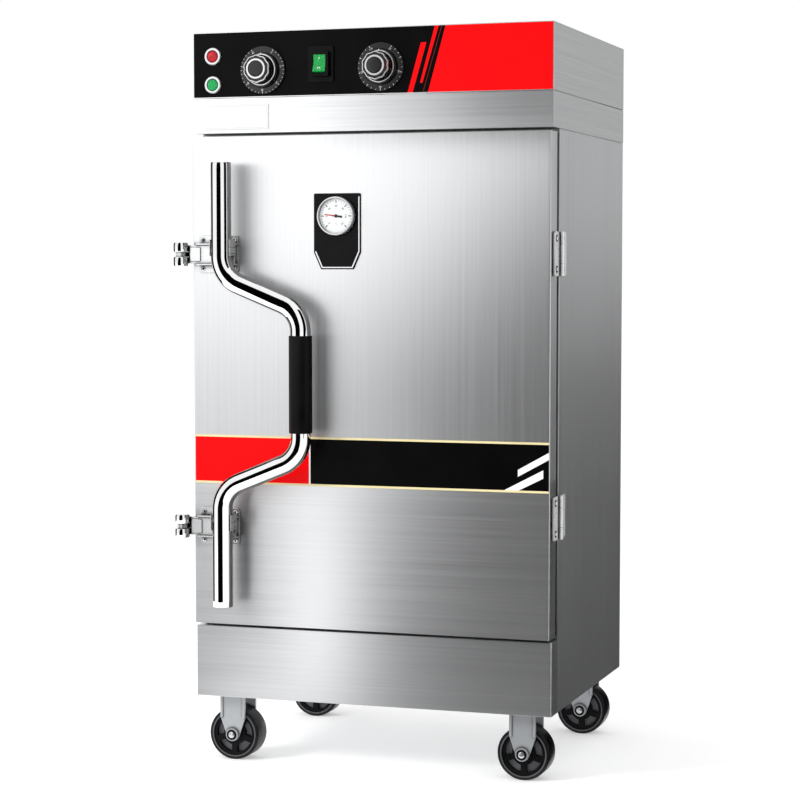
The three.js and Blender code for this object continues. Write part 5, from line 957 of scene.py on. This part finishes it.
PLATE = (-104, -12, 942, 1082)
PLATE_CUT = (14, 31)
LINE_HEIGHT = 0.2


def plate_line(inset):
    """The plate's left corner, foot and right side drawn in by an inset, as (x, z) points."""
    x0, x1, z0, z1 = PLATE[0] + inset, PLATE[1] - inset, PLATE[2] + inset, PLATE[3] - inset
    wide, high = PLATE_CUT[0] - inset * 0.2, PLATE_CUT[1] - inset * 0.4
    return [(x0, z0 + high), (x0 + wide, z0), (x1 - wide, z0), (x1, z0 + high), (x1, z1 - 3)]


def flat_band(outer, inner, back, front):
    """A strip between two open lines of (x, z) points, facing the front."""
    points = [(x, y, z) for y in (back, front) for line in (outer, inner) for x, z in line]
    count = len(outer)
    faces = [[a * count + i, a * count + i + 1, b * count + i + 1, b * count + i]
             for i in range(count - 1) for a, b in ((0, 1), (2, 3), (0, 2), (1, 3))]
    return points, faces + [[i, count + i, 3 * count + i, 2 * count + i] for i in (0, count - 1)]


piece("gauge_plate_line",
      [flat_band(plate_line(2.4), plate_line(4.4), GAUGE_BACK, GAUGE_BACK - LINE_HEIGHT)],
      TRIM_STEEL, "door")


# Door sticker: a red and a black field between gold lines

STICKER = (-345, 346.5, 538, 630)
STICKER_SPLIT = -114
STICKER_BACK = DOOR_FACE - 0.04
STICKER_FRONT = STICKER_BACK - 0.2
GOLD = 4


def sticker(x0, x1, z0, z1, rise=0.0):
    """A plain field of the sticker, raised over the others by a rise."""
    return front_slab([(x0, z0), (x1, z0), (x1, z1), (x0, z1)], STICKER_BACK,
                      STICKER_FRONT - rise)


x0, x1, z0, z1 = STICKER
low, high = z0 + GOLD, z1 - GOLD
fields = [sticker(x0, STICKER_SPLIT, low, high), sticker(STICKER_SPLIT, x1, low, high),
          sticker(x0, x1, z0, low), sticker(x0, x1, high, z1),
          sticker(STICKER_SPLIT - 1.5, STICKER_SPLIT + 1.5, low, high, PRINT_RISE)]
slants = [front_slab(outline, STICKER_BACK, STICKER_FRONT - PRINT_RISE)
          for outline in ([(288.5, 567), (288.5, 579.5), (x1, 612), (x1, 599)],
                          [(263, low), (290, low), (336, 565), (336, 580)])]
piece("door_sticker", fields + slants, [FILM_RED, FILM_BLACK] + [FILM_GOLD] * 2 + [FILM_WHITE] * 3,
      "door")

# Bare plate under the panel: a bright rim round pale lacquer
piece("badge_plate",
      [front_slab(rounded(-326.6, -197.4, 1203, 1250, 2.5), -0.05, -1.1),
       front_slab(rounded(-322.6, -201.4, 1207, 1246, 1.5), -1.1, -1.35)],
      [TRIM_STEEL, BADGE_LACQUER], "cabinet", bevel=0.3)


# Caster wheels: a turned tread, five pockets a side between spokes, and a hub

SPOKES = 5
SPOKE_HALF = 5.5
POCKET = (22, 36)
RECESS_FACE = 20
POCKET_FLOOR = 11
HUB_RADIUS = 16
RIM_RADIUS = 42


def wheel_side():
    """One side of the wheel between hub and rim, and the floors of the pockets sunk in it."""
    radii = [HUB_RADIUS, *POCKET, RIM_RADIUS]
    steps = 10
    points, faces, floors = [], [], []

    def corner(radius, spoke, share, height):
        start = math.asin(SPOKE_HALF / radius)
        turn = 2 * math.pi / SPOKES
        angle = turn * spoke + start + (turn - 2 * start) * share
        points.append((radius * math.cos(angle), radius * math.sin(angle), height))
        return len(points) - 1

    def arcs(lines, spoke, height):
        return [[corner(r, spoke, i / steps, height) for i in range(steps + 1)] for r in lines]

    for spoke in range(SPOKES):
        top = arcs(radii, spoke, RECESS_FACE)
        sunk = arcs(POCKET, spoke, POCKET_FLOOR)
        for first, second, into in ((top[0], top[1], faces), (top[2], top[3], faces),
                                    (sunk[0], sunk[1], floors), (sunk[0], top[1], faces),
                                    (top[2], sunk[1], faces)):
            into.extend([first[i], second[i], second[i + 1], first[i + 1]] for i in range(steps))
        faces.append([top[1][0], sunk[0][0], sunk[1][0], top[2][0]])
        faces.append([top[1][-1], top[2][-1], sunk[1][-1], sunk[0][-1]])
        after = [corner(r, spoke + 1, 0, RECESS_FACE) for r in radii]
        faces += [[top[row][-1], top[row + 1][-1], after[row + 1], after[row]]
                  for row in range(3)]
    return (points, faces), (points, floors)


tread = revolved([(42, 20), (42, 22.4), (42.6, 23), (47, 23), (48.6, 22.5), (49.6, 21.5), (50, 20),
                  (50, -20), (49.6, -21.5), (48.6, -22.5), (47, -23), (42.6, -23), (42, -22.4),
                  (42, -20)], 96)
hub = revolved([(16, 20), (16, 22.4), (15.4, 23), (6.4, 23), (6.4, -23), (15.4, -23),
                (16, -22.4), (16, -20)], 64)
web, pocket_floors = wheel_side()
rim_line = revolved([(42.0, 22.9), (42.7, 23.2), (43.8, 23.2), (44.6, 22.95)], 96)
flipped = Matrix.Rotation(math.pi, 4, "X")
for corner_name, (x, y) in WHEELS.items():
    axle = at(x, y, WHEEL_RADIUS) @ FACE_FRONT @ Matrix.Rotation(math.radians(-90), 4, "Z")
    piece(f"caster_wheel_{corner_name}_dressed",
          [moved(part, turn) for part in (web, pocket_floors, rim_line)
           for turn in (axle, axle @ flipped)] + [moved(tread, axle), moved(hub, axle)],
          # Pocket floors painted lighter against their shade; the rim line is a painted highlight
          [BLACK_NYLON_AND_SHADE_RINGS] * 2 + [WHEEL_POCKET_LIGHT] * 2 + [WHEEL_RIM_HIGHLIGHT] * 2 + [WHEEL_TREAD, BLACK_NYLON_AND_SHADE_RINGS],
          f"wheel_{corner_name}",
          [f"caster_wheel_{corner_name}"], sharp=36)


# Axle bolts: a bright dome in a black ring that stands in for the shade round it, on a collar
BOLT_SEAT = 29.05
bolt = [revolved([(6.2, 6.2), (6.0, 7.2), (4.6, 8.2), (2.4, 8.8), (0, 9.0)], 36),
        revolved([(9.9, 5.9), (9.9, 6.6), (9.2, 7.1), (7.0, 7.1), (6.2, 6.4)], 40),
        revolved([(12.6, 0), (12.6, 4.6), (11.8, 5.9), (9.9, 6.1), (9.9, 5.9)], 40)]
for corner_name, (x, y) in WHEELS.items():
    piece(f"caster_bolt_{corner_name}",
          [moved(part, at(x, y + way * BOLT_SEAT, WHEEL_RADIUS) @ facing)
           for way, facing in ((-1, FACE_FRONT), (1, FACE_BACK)) for part in bolt],
          [TRIM_STEEL, BLACK_NYLON_AND_SHADE_RINGS, ZINC_STEEL] * 2, "cabinet")


# Screws on the back, the housing and the float box lid

FLOAT_LID = 600.4
for name, y, columns, rows, size in (
        ("back_panel_screws", BACK_FACE + 0.1, (-325, 0, 325), (160, 660, 1160), (4.0, 1.8)),
        ("housing_back_screws", BACK_FACE + 0.1, (-325, 325), (1282, 1366), (4.0, 1.8)),
        ("float_box_screws", FLOAT_LID, (-180, -30), (230, 340), (3.4, 1.6))):
    screws(name, [(x, y, z) for x in columns for z in rows], FACE_BACK, "cabinet", *size)


# Floor, light and camera

PAPER_GLOW = 0.33
paper_white, tree, output, coordinates = material("studio_paper_white")
speckle = streaks(tree, coordinates, (60, 60, 60), 3.0)
paper = node(tree, "BsdfDiffuse", {"Color": blended(tree, ranged(tree, speckle, 0.0, 1.0),
                                                    0xf2f2f2, 0xf4f4f4)})
bare = node(tree, "Emission", {"Color": (1, 1, 1, 1), "Strength": PAPER_GLOW})
both = node(tree, "AddShader", {0: paper.outputs[0], 1: bare.outputs[0]})
tree.links.new(both.outputs[0], output.inputs["Surface"])


def sheet(name, corners, finish_material):
    """A flat sheet of the studio."""
    mesh = bpy.data.meshes.new(name)
    mesh.from_pydata(corners, [], [list(range(len(corners)))])
    mesh.materials.append(finish_material)
    made = bpy.data.objects.new(name, mesh)
    bpy.context.scene.collection.objects.link(made)
    return made


def wall(x0, x1, y, z0, z1):
    return [(x0, y, z0), (x1, y, z0), (x1, y, z1), (x0, y, z1)]


def ground(x0, x1, y0, y1, z):
    return [(x0, y0, z), (x1, y0, z), (x1, y1, z), (x0, y1, z)]


floor_object = sheet("studio_floor", ground(-60, 60, -60, 60, 0), paper_white)

# The share of its light that a lamp keeps once it has been mirrored twice
SECOND_GLOSS = 0.15


def first_gloss(tree, depth, strength):
    """A light's strength, so that steel mirrored in steel reads dark."""
    again = node(tree, "Math", {0: depth, 1: 1.5}, operation="GREATER_THAN")
    share = ranged(tree, again.outputs[0], 1.0, SECOND_GLOSS, 0.0, 1.0)
    return node(tree, "Math", {0: share, 1: strength}, operation="MULTIPLY").outputs[0]


# What the sky gives as light and in rough reflections; where it is seen itself it is plain white
SKY_LIGHT = 0.85
ROUGH_GLOSS = 0.88
world = bpy.data.worlds.new("studio")
bpy.context.scene.world = world
world.use_nodes = True
sky = world.node_tree
sky.nodes.clear()
path = node(sky, "LightPath").outputs
seen = path["Is Camera Ray"]
for ray in ("Is Glossy Ray", "Is Transmission Ray"):
    seen = node(sky, "Math", {0: seen, 1: path[ray]}, operation="MAXIMUM").outputs[0]
strength = ranged(sky, seen, SKY_LIGHT, 1.0, 0.0, 1.0)
rough = node(sky, "Math", {0: path["Is Glossy Ray"], 1: path["Is Singular Ray"]},
             operation="SUBTRACT").outputs[0]
strength = node(sky, "Math", {0: rough, 1: ROUGH_GLOSS - 1, 2: strength},
                operation="MULTIPLY_ADD").outputs[0]
strength = first_gloss(sky, path["Glossy Depth"], strength)
sky_light = node(sky, "Background", {"Color": (1, 1, 1, 1), "Strength": strength})
sky_out = node(sky, "OutputWorld")
sky.links.new(sky_light.outputs[0], sky_out.inputs["Surface"])


light = bpy.data.lights.new("key_soft_box", "AREA")
light.shape = "RECTANGLE"
light.size = light.size_y = 0.9
light.energy = 60
key = bpy.data.objects.new("key_soft_box", light)
key.location = (-2.2, -2.6, 2.1)
key.rotation_euler = (Vector((0, 0, 0.8)) - key.location).to_track_quat("-Z", "Y").to_euler()
key.visible_glossy = False
bpy.context.scene.collection.objects.link(key)


def card(name, corners, finish_material):
    """A sheet that only reflections see."""
    made = sheet(name, corners, finish_material)
    for ray in ("camera", "diffuse", "shadow", "transmission"):
        setattr(made, "visible_" + ray, False)
    return made


def parted(tree, output, to_rough, to_mirror):
    """Gives one shader to rough gloss and another to true mirrors."""
    mirror_ray = node(tree, "LightPath").outputs["Is Singular Ray"]
    mix = node(tree, "MixShader", {0: mirror_ray, 1: to_rough.outputs[0], 2: to_mirror.outputs[0]})
    tree.links.new(mix.outputs[0], output.inputs["Surface"])


def glow_card(name, corners, across, down, tones, power=1.0):
    """A card that glows by a ramp, for rough gloss; each direction is (start, end, share)."""
    made, tree, output, coordinates = material(name)
    spot = node(tree, "SeparateXYZ", {"Vector": coordinates}).outputs
    along = [ranged(tree, spot[axis], 0.0, share, start, end)
             for axis, (start, end, share) in (("X", across), ("Z", down))]
    total = node(tree, "Math", {0: along[0], 1: along[1]}).outputs[0]
    ramp = node(tree, "ValToRGB", {"Fac": total})
    elements = ramp.color_ramp.elements
    for i, (share, tone) in enumerate(tones):
        element = elements[i] if i < 2 else elements.new(share)
        element.position = share
        element.color = (tone, tone, tone, 1)
    depth = node(tree, "LightPath").outputs["Glossy Depth"]
    glow = node(tree, "Emission", {"Color": ramp.outputs["Color"],
                                   "Strength": first_gloss(tree, depth, power)})
    parted(tree, output, glow, node(tree, "BsdfTransparent", {"Color": (1, 1, 1, 1)}))
    return card(name, corners, made)


# Black velvet flags that only true mirrors see: they draw the dark lines along the tube
flag_black, tree, output, coordinates = material("flag_black_velvet")
nap = streaks(tree, coordinates, (3, 3, 3), 2.0)
velvet = node(tree, "BsdfDiffuse", {"Color": blended(tree, ranged(tree, nap, 0.0, 1.0),
                                                     0x020202, 0x060606)})
parted(tree, output, node(tree, "BsdfTransparent", {"Color": (1, 1, 1, 1)}), velvet)
TUBE_SPOT = TO_FRAME @ Vector((HANDLE_X, HANDLE_Y, 0))
FLAG_REACH = 1.5


def flag(name, low, high, foot, head=None):
    """A flag from low to high, between two azimuths as seen from the tube at foot and head."""
    corners = []
    for azimuths, z in ((foot, low), ((head or foot)[::-1], high)):
        for azimuth in azimuths:
            turn = math.radians(azimuth)
            corners.append((TUBE_SPOT.x + FLAG_REACH * math.sin(turn),
                            TUBE_SPOT.y - FLAG_REACH * math.cos(turn), z))
    return card(name, corners, flag_black)


# Ramps as (share of the way, tone), matched to the light along each sheet
LOWER_TONES = [(0.0, 0.3), (0.06, 0.33), (0.15, 0.5), (0.23, 1.1), (0.3, 0.6), (0.37, 0.23),
               (0.46, 0.09), (0.6, 0.035), (1.0, 0.02)]
TOP_TONES = [(0.0, 1.15), (0.3, 1.1), (0.39, 0.98), (0.476, 0.8), (0.564, 0.62), (0.648, 0.47),
             (0.737, 0.28), (0.826, 0.19), (1.0, 0.15)]
FLOOR_TONES = [(0.0, 0.1), (0.06, 0.14), (0.15, 0.34), (0.23, 0.9), (0.3, 0.62), (0.37, 0.34),
               (0.46, 0.17), (0.6, 0.1), (1.0, 0.05)]
LEFT_TONES = [(0.0, 1.0), (0.24, 1.0), (0.36, 0.94), (0.49, 0.76), (0.74, 0.58), (1.0, 0.5)]
UPPER_TONES = [(0.0, 1.05), (0.28, 1.05), (0.33, 0.95), (0.368, 0.84), (0.407, 0.64),
               (0.449, 0.5), (0.49, 0.35), (0.516, 0.29), (0.558, 0.16), (0.6, 0.05),
               (0.68, 0.0), (1.0, 0.0)]
SIDE_TONES = [(0.0, 0.0), (0.25, 0.0), (0.42, 0.06), (0.5, 0.17), (0.58, 0.27), (0.7, 0.39),
              (1.0, 0.4)]
cards = [
    glow_card("card_front_top", wall(-1.4, 1.0, -0.5, 1.188, 1.9), (-0.55, 0.4, 1.0),
              (0.0, 1.0, 0.0), TOP_TONES, 1.15),
    glow_card("card_front_left", wall(-2.4, -0.55, -1.0, 0.42, 1.27), (-2.4, -0.55, 0.0),
              (1.27, 0.42, 1.0), LEFT_TONES, 1.32),
    glow_card("card_front_upper", wall(-0.55, 1.6, -1.0, 0.42, 1.27), (-0.66, 0.95, 0.72),
              (1.25, 0.68, 0.28), UPPER_TONES, 1.32),
    glow_card("card_front_lower", wall(-2.4, 1.6, -1.0, 0.0, 0.42), (-0.75, 0.7, 1.0),
              (0.0, 1.0, 0.0), LOWER_TONES, 1.5),
    glow_card("card_front_floor", ground(-2.4, 1.6, -1.0, -0.31, 0.004), (-0.75, 0.7, 1.0),
              (0.0, 1.0, 0.0), FLOOR_TONES, 1.4),
    glow_card("card_side", wall(0.36, 3.2, 1.0, 0.0, 2.2), (0.36, 3.2, 0.0), (0.0, 1.6, 1.0),
              SIDE_TONES),
    glow_card("card_side_floor", ground(0.37, 3.2, -0.31, 1.0, 0.004), (0.36, 3.2, 0.0),
              (0.0, 1.0, 1.0), [(0.0, 0.0), (1.0, 0.01)]),
    flag("flag_front", 0.05, 2.2, (-35, 24), (-20, 18.4)),
    flag("flag_right_low", 0.5, 0.88, (54, 60), (57.5, 88)),
    flag("flag_right_high", 0.88, 2.2, (57.5, 88)),
    flag("flag_left", 0.1, 2.2, (-121, -80.6)),
]

camera = bpy.data.cameras.new("camera")
camera.lens = 101.97
camera.sensor_width = 36
camera.shift_y = 0.01875
camera.clip_end = 200
viewer = bpy.data.objects.new("camera", camera)
viewer.location = (1.38355, -4.21988, 0.945)
viewer.rotation_euler = (math.radians(86.28), 0, math.radians(18.38))
bpy.context.scene.collection.objects.link(viewer)
bpy.context.scene.camera = viewer
bpy.context.scene.view_settings.view_transform = "Standard"
